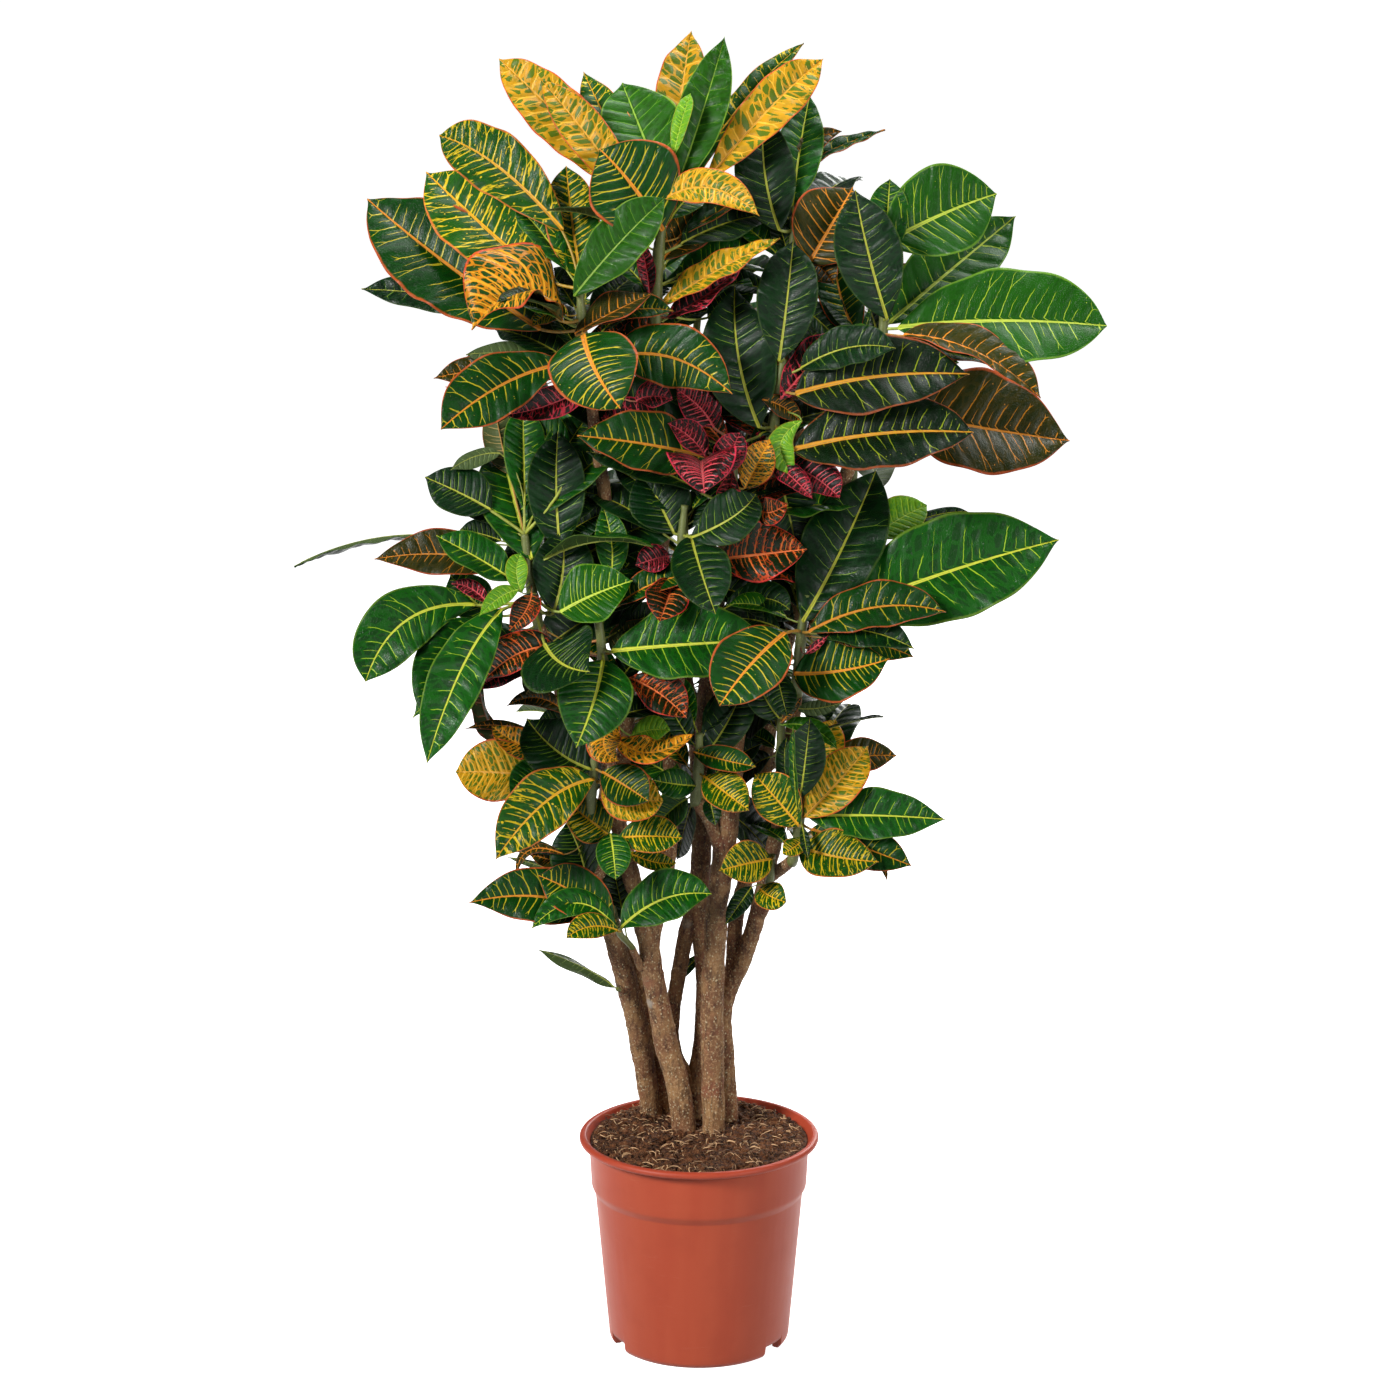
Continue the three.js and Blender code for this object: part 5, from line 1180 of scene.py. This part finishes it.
def leaf_round(shoot, k):
    """The k-th small leaf about a stem: turned by the golden angle, rising 35 degrees at the top of the stem
    and hanging 40 at its foot, 60 to 125 mm long, arched and drooping."""
    drawn = np.random.default_rng(50 * ord(shoot) + k)
    behind = shoot in BACK
    high = drawn.uniform(0, 1)
    turn = np.radians((k * GOLDEN % 1 - 0.5) * (360 if behind else 250))
    rise = np.radians(-40 + 75 * high + drawn.uniform(-10, 10))
    length = drawn.uniform(60, 125)
    stem = green_stems[shoot][:, :3]
    place = high * (len(stem) - 1.01)
    root = stem[int(place)] + (stem[int(place) + 1] - stem[int(place)]) * (place % 1)
    face = np.array([0.5 * np.sin(turn), 0.8 * np.cos(turn) if behind else -0.9, 1.0])
    return dict(arched(root, drawn.uniform(14, 30), run_of(turn, rise), length, 0.15), face=face,
                width=drawn.uniform(0.38, 0.48) * length, roll=drawn.uniform(-25, 25), fold=12)


for key, count in ROUND.items():
    corners = solid_points[SHOOTS[key][0]]
    margin = INSIDE_BACK if key in BACK else INSIDE
    low, high = corners.min(0) + margin + INSIDE_FRONT, corners.max(0) - margin
    for k in range(count):
        leaf = leaf_round(key, k)
        reach = np.array([leaf["tip"], leaf["middle"]])
        if ((reach > low) & (reach < high)).all():
            plant[key].append({**leaf, "kind": ROUND_KINDS[k % 6], "seed": 5000 + 50 * ord(key) + k})
print("leaves with those inside:", sum(map(len, plant.values())))

# %% [markdown]
# ## The midrib of a leaf
# Everything on a leaf is measured from its midrib, a curve that arches out and down. Three points are known
# of it, so a quadratic Bezier through them will do, and it comes with the directions along the leaf, across
# the blade and out of it.

# %% Midribs
def midrib(leaf, s):
    """Points of the quadratic Bezier through base, middle and tip at s, with the ways along it, across the
    blade and up from it. The last two are turned about the first by the leaf's roll."""
    base, tip = leaf["base"], leaf["tip"]
    control = 2 * leaf["middle"] - (base + tip) / 2
    s = s[:, None]
    point = (1 - s) ** 2 * base + 2 * s * (1 - s) * control + s**2 * tip
    way = unit((1 - s) * (control - base) + s * (tip - control))
    flat = unit(np.cross(tip - base, leaf["face"]))
    across = unit(flat - way * (way @ flat)[:, None])
    up = np.cross(across, way)
    roll = np.radians(leaf["roll"])
    return point, way, across * np.cos(roll) + up * np.sin(roll), up * np.cos(roll) - across * np.sin(roll)


print("middle of the first leaf:", midrib(plant["A"][0], np.array([0.5]))[0].round(1))

# %% [markdown]
# ## The form of a blade
# A croton leaf is leathery: a stout midrib, side ribs that curve towards the tip, and the blade quilted
# up between them, its edge gently waved. It could be a subdivided plane with a displacement map. A
# function of the way along and across gives the same at any fineness, and the ribs' own coordinate can be
# handed to the finish, so colour and relief meet.

# %% Blades
ACROSS = np.array([-1, -0.97, -0.86, -0.68, -0.47, -0.25, -0.07, 0, 0.07, 0.25, 0.47, 0.68, 0.86, 0.97, 1])
ROW_STEP, ROWS = 2.6, (12, 60)
RIBS_A_SIDE, RIB_SPACING = 9.5, (5, 21)
LEFT_LATER = 0.37
QUILTED, EDGE_WAVE = 0.07, (34, 62)
CRINKLED = {"red": 2.2, "ember": 2.2, "fire": 2.2}
FOLDED_MORE = {"red": 20, "ember": 20}
THICK, THINNED = 0.42, 0.22


def blade(leaf):
    """Rings round the blade: over the top from left to right and back below. Half its breadth is
    (s/m)^a ((1-s)/(1-m))^b, which is 1 at its widest place m, drawn in to a point over the last twentieth.
    Height over the midrib: the fold, a waved edge growing with the cube of the distance from the midrib, and
    quilting, a cosine of the ribs' coordinate that dies out at midrib and edge. Given back with the rings:
    [ribs' coordinate, mm from the midrib, share of the half, ribs' spacing] and [mm along, the leaf's own
    number, 1 above and 0 below, share of the length]."""
    drawn = np.random.default_rng(leaf["seed"])
    length = np.linalg.norm(leaf["tip"] - leaf["base"])
    t = np.linspace(0.004, 1, int(np.clip(length / ROW_STEP, *ROWS)))
    s = 0.6 * t + 0.4 * (0.5 - 0.5 * np.cos(np.pi * t))
    s[-1] = 0.9985
    point, way, across, up = midrib(leaf, s)
    u = np.concatenate([ACROSS, ACROSS[::-1]])[None, :]
    top = np.repeat([1.0, -1.0], len(ACROSS))[None, :]

    slim, blunt = drawn.uniform(0.72, 0.98), drawn.uniform(0.64, 0.98)
    widest = slim / (slim + blunt)
    half = leaf["width"] / 2 * (s / widest) ** slim * ((1 - s) / (1 - widest)) ** blunt
    half = half * (1 - 0.9 * np.exp((s - 1) / drawn.uniform(0.03, 0.07)))
    half, s = np.maximum(half, 0.3)[:, None], s[:, None]
    x = half * u

    along = s * length
    spacing = np.clip(length / RIBS_A_SIDE, *RIB_SPACING)
    ribs = (along - 0.36 * np.abs(x) - 0.15 * x**2 / (leaf["width"] / 2)) / spacing + LEFT_LATER * (u < 0)
    fade = np.clip(np.abs(u) / 0.2, 0, 1) * np.clip((1 - np.abs(u)) / 0.25, 0, 1) ** 0.7
    quilt = QUILTED * spacing * fade * (1 - np.cos(2 * np.pi * ribs)) / 2

    def wave(turns):
        """A wave along the edge, with its own beginning and another one on the right half."""
        begun = drawn.uniform()
        return np.sin(2 * np.pi * (turns * s + begun) + (u > 0) * drawn.uniform(1, 5))

    turns = length / drawn.uniform(*EDGE_WAVE)
    waving = wave(turns) + 0.6 * wave(0.43 * turns)
    high = CRINKLED.get(leaf["kind"], 1.0) * min(3, 0.05 * leaf["width"])
    waving = high * np.abs(u) ** 3 * waving * np.sin(np.pi * s) ** 0.6
    fold = np.radians(leaf["fold"] + FOLDED_MORE.get(leaf["kind"], 6))
    lift = half * np.sin(fold) * (1.7 * np.abs(u) - 0.7 * u**2) + waving + quilt
    lift = lift - 0.5 * np.exp(-((u / 0.06) ** 2)) * (half > 4)
    thick = THICK - THINNED * np.abs(u) ** 4
    rings = point[:, None] + across[:, None] * x[..., None] + up[:, None] * (lift + top * thick)[..., None]

    same = np.ones(ribs.shape)
    rib = np.stack([ribs, x, u * same, spacing * same], -1)
    lie = np.stack([along * same, leaf["seed"] * 37.7 % 500 * same, (0.5 + 0.5 * top) * same, s * same], -1)
    return rings, rib, lie


print("points of the first blade:", blade(plant["A"][0])[0].shape[:2])

# %% [markdown]
# ## Petioles
# A leaf hangs on its petiole, which goes on under the blade as the midrib and thins out towards the tip. So
# both are one tube, and no joint shows where the blade begins.

# %% Stalks
STALK_SIDES = 7


def stalk(leaf):
    """The petiole, then the midrib below the blade, as one thinning thread: from the root towards the base
    it follows a Bezier that arrives along the midrib, then it runs half a millimetre under the blade."""
    s = np.linspace(0.02, 0.96, 14)
    point, way, across, up = midrib(leaf, s)
    start, stop = leaf["root"], point[0] - 0.7 * up[0]
    reach = np.linalg.norm(stop - start)
    bend = 0.45 * (start + stop) / 2 + 0.55 * (stop - way[0] * 0.5 * reach)
    t = np.linspace(0, 1, 9)[:-1, None]
    neck = (1 - t) ** 2 * start + 2 * t * (1 - t) * bend + t**2 * stop
    stout = np.clip(leaf["width"] / 36, 0.6, 1.45)
    under = point - up * (0.55 + 0.25 * stout * (1 - s))[:, None]
    girth = stout * np.concatenate([1.25 - 0.25 * np.sqrt(t[:, 0]), 0.95 - 0.68 * s])
    girth[0] *= 1.25
    return tube(np.hstack([np.vstack([neck, under]), girth[:, None]]), STALK_SIDES)


print("points of the first stalk:", stalk(plant["A"][0]).shape[:2])

# %% [markdown]
# ## Thirteen ways to colour a leaf
# No two croton leaves are alike, but they fall into kinds: black-green with a gold midrib, gold with green
# flecks, coral with black islands. A material for each would be thirteen trees of nodes to keep in step. So
# each kind has a palette of five colours, the blade's own, its ribs, its islands, its margin and its midrib,
# which ride on the mesh. The fourth number of four of them carries a strength, and one finish serves all.

# %% Palettes
# Each kind: the blade and its speckles; the ribs and half the width of a side rib in mm; the islands and
# how much they cover; the margin; the midrib and half its width in mm.
KINDS = {
    "gold": ("c08a14", 0.3, "ddaa36", 0.9, "4f6410", 0.36, "c24a26", "dda038", 1.7),
    "sun": ("1a4c08", 0.85, "ccae1c", 0.8, "14400a", 0.35, "c4682a", "d89c22", 2.0),
    "fresh": ("22560a", 0.15, "5c8c22", 0.34, "1c4804", 0.3, "6f9428", "90b43c", 1.2),
    "lime": ("68961a", 0.2, "a4c43c", 0.45, "4c8420", 0.3, "989028", "b4cc50", 0.9),
    "orib": ("0a3a08", 0.45, "b5a422", 0.55, "093008", 0.3, "b04e22", "d08226", 2.0),
    "deep": ("081e08", 0.5, "8a9a1e", 0.42, "061606", 0.3, "8e4420", "cc8e2a", 2.0),
    "red": ("ae2434", 0.15, "d4545c", 0.55, "150c08", 0.7, "c42840", "d0545a", 1.8),
    "ember": ("ac3c14", 0.3, "d07030", 0.52, "0e1c08", 0.74, "c8342c", "d86e3c", 1.9),
    "green": ("114a0b", 0.3, "94b428", 0.36, "0c360a", 0.3, "55721e", "bcc03c", 1.8),
    "olive": ("33300a", 0.45, "c87e22", 0.52, "222808", 0.3, "b04c24", "d08028", 1.7),
    "dark": ("08280a", 0.25, "74942a", 0.26, "061c08", 0.3, "2c4212", "a8a838", 1.5),
    "leaf": ("184c08", 0.45, "98b02c", 0.38, "144406", 0.3, "5c8422", "b4c448", 1.8),
    "fire": ("c87c14", 0.35, "dc9c28", 0.9, "1c3e10", 0.44, "c44420", "da9024", 1.9),
}
STEM_GREEN = "6a6436"
TONES = (0.85, 1.18)


def shaded(code, strength, tone):
    """A colour for the mesh, lighter or darker by tone, with a strength as its fourth number."""
    return [min(1.0, channel * tone) for channel in rgb(code)[:3]] + [strength]


def palette(leaf):
    """The five colours of one leaf. Small leaves have thin ribs, and each leaf has a tone of its own."""
    tone = np.random.default_rng(leaf["seed"] + 7).uniform(*TONES)
    blade_code, speckles, rib_code, rib_mm, stain_code, covered, edge_code, mid_code, mid_mm = KINDS[leaf["kind"]]
    size = np.clip(leaf["width"] / 65, 0.42, 1.3)
    return dict(blade=shaded(blade_code, speckles, tone), ribs=shaded(rib_code, rib_mm * size**0.5, tone),
                stain=shaded(stain_code, covered, tone), margin=shaded(edge_code, mid_mm * size, tone),
                middle=shaded(mid_code, 1, tone))


print("kinds:", len(KINDS), "the first leaf's blade:", np.round(palette(plant["A"][0])["blade"], 3))

# %% [markdown]
# ## What the finish reads
# The mesh carries everything that the leaf's pattern needs: where a point lies on its own blade, and the
# palette. The pattern is then drawn in the leaf's own millimetres, so it follows every bend of the blade.
# The leaf's own number moves each leaf to another part of the noise.

# %% The leaf's own coordinates
leafy = Wiring("croton leaf")
ribs_stored, lies_stored = leafy.stored("rib", "Color"), leafy.stored("lie", "Color")
rib_values = leafy.node("SeparateXYZ", None, {0: ribs_stored})
lie_values = leafy.node("SeparateXYZ", None, {0: lies_stored})
rib_count, sideways, edgeways = (rib_values.other(k) for k in range(3))
lengthways, chance, upper = (lie_values.other(k) for k in range(3))
spacing, share = ribs_stored.other("Alpha"), lies_stored.other("Alpha")
palette_read = [leafy.stored(name, "Color") for name in ("blade", "ribs", "stain", "margin", "middle")]
blade_color, rib_color, stain_color, edge_color, mid_color = palette_read
speckle, rib_wide, cover, stout = (color.other("Alpha") for color in palette_read[:4])
apart = chance * 9


def on_leaf(first, second):
    """A vector of two of the leaf's coordinates, each leaf in a layer of its own."""
    return leafy.node("CombineXYZ", None, {0: first, 1: second, 2: apart})


sheet = on_leaf(lengthways, sideways)
ribbed = on_leaf(rib_count, sideways / spacing)
wobble = leafy.noise(sheet, 7, 2)
fine = leafy.noise(sheet, 1.3, 3)
patchy = leafy.noise(sheet, 20, 3, 0.5)
outwards = abs(edgeways)
half_of_leaf = edgeways.above(-0.01, 0.01) * 60
print("nodes so far:", len(leafy.tree.nodes))

# %% [markdown]
# ## Ribs
# The side ribs are drawn where the ribs' coordinate is a whole number: a line that tapers to the margin,
# forks before it, and breaks off at a length of its own. Half way between two of them runs a thin rib,
# which is mostly short or missing. Then come the midrib and the margin.

# %% Ribs, midrib and margin
uneven = leafy.noise(on_leaf(lengthways, half_of_leaf), 30, 1) - 0.5
rib_at = rib_count + 0.9 * uneven + 0.12 * (wobble - 0.5)
rib_part = rib_at.part()
nearest = (rib_at + 0.5) - (rib_at + 0.5).part()
own = leafy.noise(on_leaf(nearest * 7.3, half_of_leaf), 1, 0)
off_rib = 0.5 - abs(rib_part - 0.5)
forked = abs(off_rib - 0.2 * outwards.above(0.55, 0.92))
line = rib_wide * (1.5 - 1.1 * outwards) * (0.4 + 0.8 * wobble + 0.6 * own)
reach = 0.45 + 2.0 * (own - 0.5) + 0.6 * rib_wide
side_rib = (1 - forked * spacing / line).above(0.0, 0.5) * (reach - outwards).above(-0.03, 0.1)

between = leafy.noise(on_leaf((rib_at - rib_part) * 5.1, half_of_leaf + 9), 1, 0)
thin_rib = (1 - (0.5 - off_rib) * spacing / (0.5 * line)).above(0.0, 0.5)
thin_rib = thin_rib * (0.12 + 2.4 * (between - 0.5) + 0.35 * rib_wide - outwards).above(-0.03, 0.1)
unbroken = (patchy + 0.3 * fine + 0.25 * rib_wide).above(0.46, 0.56)
side_rib = side_rib.larger(thin_rib) * unbroken * outwards.above(0.97, 0.88)
mid = (1 - abs(sideways) / (stout * (1.2 - 0.95 * share))).above(0.0, 0.35)
margin = (outwards + 0.05 * wobble).above(0.955, 0.995)
print("nodes so far:", len(leafy.tree.nodes))

# %% [markdown]
# ## Islands, drops and smears
# Between the ribs lie islands of the stain's colour, the cells of a Voronoi pattern stretched along the
# ribs. Speckled kinds also have round drops, and smears that run with the ribs, both in the ribs' colour.

# %% Islands, drops and smears
ISLAND, DROP, SMEAR = (2.2, 1.3, 1), (1.0, 0.7, 1), (3.6, 0.8, 1)
islands = leafy.cells(leafy.stretch(ribbed, ISLAND), 1, "DISTANCE_TO_EDGE")
gaps = 0.35 * off_rib.above(0.02, 0.3) + 0.65 * islands.above(0.0, 0.2)
gaps = gaps + 1.2 * (patchy - 0.5) + 0.7 * (fine - 0.5)
island = (gaps + cover).above(1.0, 1.12)
dots = leafy.cells(leafy.stretch(sheet, DROP), 4.6)
drop = leafy.node("SeparateColor", None, {0: dots.other("Color")}, 0)
speckled = (drop * 0.27 * speckle - dots).above(0.0, 0.03) * (drop + speckle).above(0.8, 1.0)
smear = (leafy.noise(leafy.stretch(ribbed, SMEAR), 1, 4, 0.7) + 0.06 * outwards).above(0.6, 0.66)
smear = smear * speckle.above(0.5, 0.95)
print("nodes so far:", len(leafy.tree.nodes))

# %% [markdown]
# ## The finish of a leaf
# The masks are laid over one another, islands first and the midrib last. The top is a little glossy, the
# underside dull and greyed. The relief comes from the same masks: the blade swells between its ribs, and a
# net of veinlets lies in it.

# %% Leaf
DULL, DULL_RIB = "56663a", "98a06e"
color = leafy.layered(blade_color, (wobble.above(0.3, 0.75) * 0.4, stain_color), (island, stain_color),
                      (smear, rib_color), (speckled * 0.9, rib_color), (side_rib * 0.92, rib_color),
                      (margin * 0.85, edge_color), (mid, mid_color))
dull = leafy.layered(color, (0.5, DULL), (side_rib * 0.35, DULL_RIB))
color = leafy.mix(upper, dull, color)
gloss = 0.42 - 0.19 * upper + 0.14 * fine - 0.04 * side_rib
quilt = off_rib.above(0.0, 0.3)
veinlets = leafy.cells(sheet, 2.2, "DISTANCE_TO_EDGE").above(0.16, 0.0)
raised = leafy.bump(quilt, 0.5, leafy.bump(1 - veinlets, 0.12, leafy.bump(fine, 0.1)))
leaf_finish = leafy.finish(Base_Color=color, Roughness=gloss, Normal=raised, Specular_IOR_Level=0.14)
print("nodes in the leaf:", len(leafy.tree.nodes))

# %% [markdown]
# ## Green wood
# Petioles and green stems are rounder and paler than the blades, with a few pale corky spots.
# They take the colour of their leaf's midrib, greened.

# %% Green stem and petiole
stemmy = Wiring("green stem")
midrib_color = stemmy.stored("middle", "Color")
skin = stemmy.place()
long_grain = stemmy.noise(stemmy.place((1, 1, 0.3)), 3, 4)
spots = stemmy.cells(skin, 2.1).above(0.3, 0.12)
green = stemmy.layered(midrib_color, (0.45, "4f6a26"), (long_grain.above(0.4, 0.7) * 0.5, "4a5228"),
                       (spots * 0.3, "b9a877"))
stem_finish = stemmy.finish(Base_Color=green, Roughness=0.42 + 0.2 * long_grain,
                            Normal=stemmy.bump(long_grain, 0.3), Specular_IOR_Level=0.45)
print("nodes in the green stem:", len(stemmy.tree.nodes))

# %% [markdown]
# ## The crowns
# Each shoot is one piece, as its solid is: the green stem, then every leaf as a blade with its stalk. Both
# finishes are on the piece, the blade's first, and stems and stalks are told to wear the second.

# %% The crowns
ON_BLADE, ON_STEM = 0, 1
STEM_RING_SIDES, STEM_RING_STEP = 12, 3.5
BLANK = dict.fromkeys(("rib", "lie", "blade", "stain", "margin", "ribs"), [0, 0, 1, 1])
for key, (node, _) in SHOOTS.items():
    crown = Sheaf()
    stem = tube(fine_path(green_stems[key], STEM_RING_STEP), STEM_RING_SIDES, warty(ord(key)))
    crown.add(stem, stuff=ON_STEM, middle=shaded(STEM_GREEN, 1, 1), **BLANK)
    for leaf in plant[key]:
        colors = palette(leaf)
        rings, rib, lie = blade(leaf)
        crown.add(rings, stuff=ON_BLADE, rib=rib, lie=lie, **colors)
        crown.add(stalk(leaf), stuff=ON_STEM, **{**BLANK, **colors})
    dress(crown.mesh("leaves_" + node, leaf_finish, stem_finish), node)

# %% [markdown]
# ## The floor
# The photograph has a white sweep that shows no edge and almost no shadow. Here it is one large pale sheet
# that glows a little. It is hidden from light that has bounced off the plant, or it would light every leaf
# from below.

# %% Floor
floor_mesh = bpy.data.meshes.new("floor")
floor_mesh.from_pydata([(-30, -30, 0), (30, -30, 0), (30, 60, 0), (-30, 60, 0)], [], [(0, 1, 2, 3)])
floor = bpy.data.objects.new("floor", floor_mesh)
bpy.context.scene.collection.objects.link(floor)
paper = Wiring("pale floor")
floor_mesh.materials.append(paper.finish(Base_Color="e8e8e8", Roughness=0.9, Specular_IOR_Level=0.1,
                                         Emission_Color="ffffff", Emission_Strength=0.95))
floor.visible_diffuse = False
print("floor:", floor_mesh.materials[0].name)

# %% [markdown]
# ## The room
# Two backgrounds share the world: the camera sees a white one, and everything else is lit by a dim one, so
# the light comes from the lamps and still nothing behind the plant is grey.

# %% Room
ROOM_LIGHT, SEEN_LIGHT = 0.13, 1.0
room = Wiring("room", bpy.data.worlds.new("room"))
room.tree.nodes.remove(room.tree.nodes["Background"])
lit, white = (room.node("Background", None, {"Color": "ffffff", "Strength": s}) for s in (ROOM_LIGHT, SEEN_LIGHT))
for_camera = room.node("LightPath", output="Is Camera Ray")
chosen = room.node("MixShader", None, {0: for_camera, 1: lit, 2: white})
room.feed(room.tree.nodes["World Output"].inputs["Surface"], chosen)
bpy.context.scene.world = room.block
print("light of the room:", ROOM_LIGHT)

# %% [markdown]
# ## The lamps
# Large soft lights stand round the plant, the strongest to the upper left of the camera, a weaker one to the
# right, one over the crown and one behind it. Wide lamps give soft shadows and broad highlights.

# %% Lamps
# Each lamp: its place, the height on the axis that it looks at, its side, all in metres, and its watts.
LAMPS = {
    "key": ((-2.7, -2.3, 2.5), 0.7, 1.2, 208),
    "fill": ((2.6, -2.2, 1.5), 0.6, 1.2, 64),
    "crown": ((0.6, 0.6, 3.4), 0.8, 1.3, 80),
    "back": ((1.2, 3.2, 1.8), 0.7, 1.6, 80),
}
for name, (place, aim, side, power) in LAMPS.items():
    light = bpy.data.lights.new(name, "AREA")
    light.size, light.energy = side, power
    lamp = bpy.data.objects.new(name, light)
    lamp.location = place
    way = np.array([0, 0, aim]) - place
    lamp.rotation_euler = (np.arctan2(np.hypot(way[0], way[1]), -way[2]), 0, np.arctan2(way[1], way[0]) - np.pi / 2)
    bpy.context.scene.collection.objects.link(lamp)
    print(name, place)
bpy.context.scene.view_settings.view_transform = "Standard"

# %% [markdown]
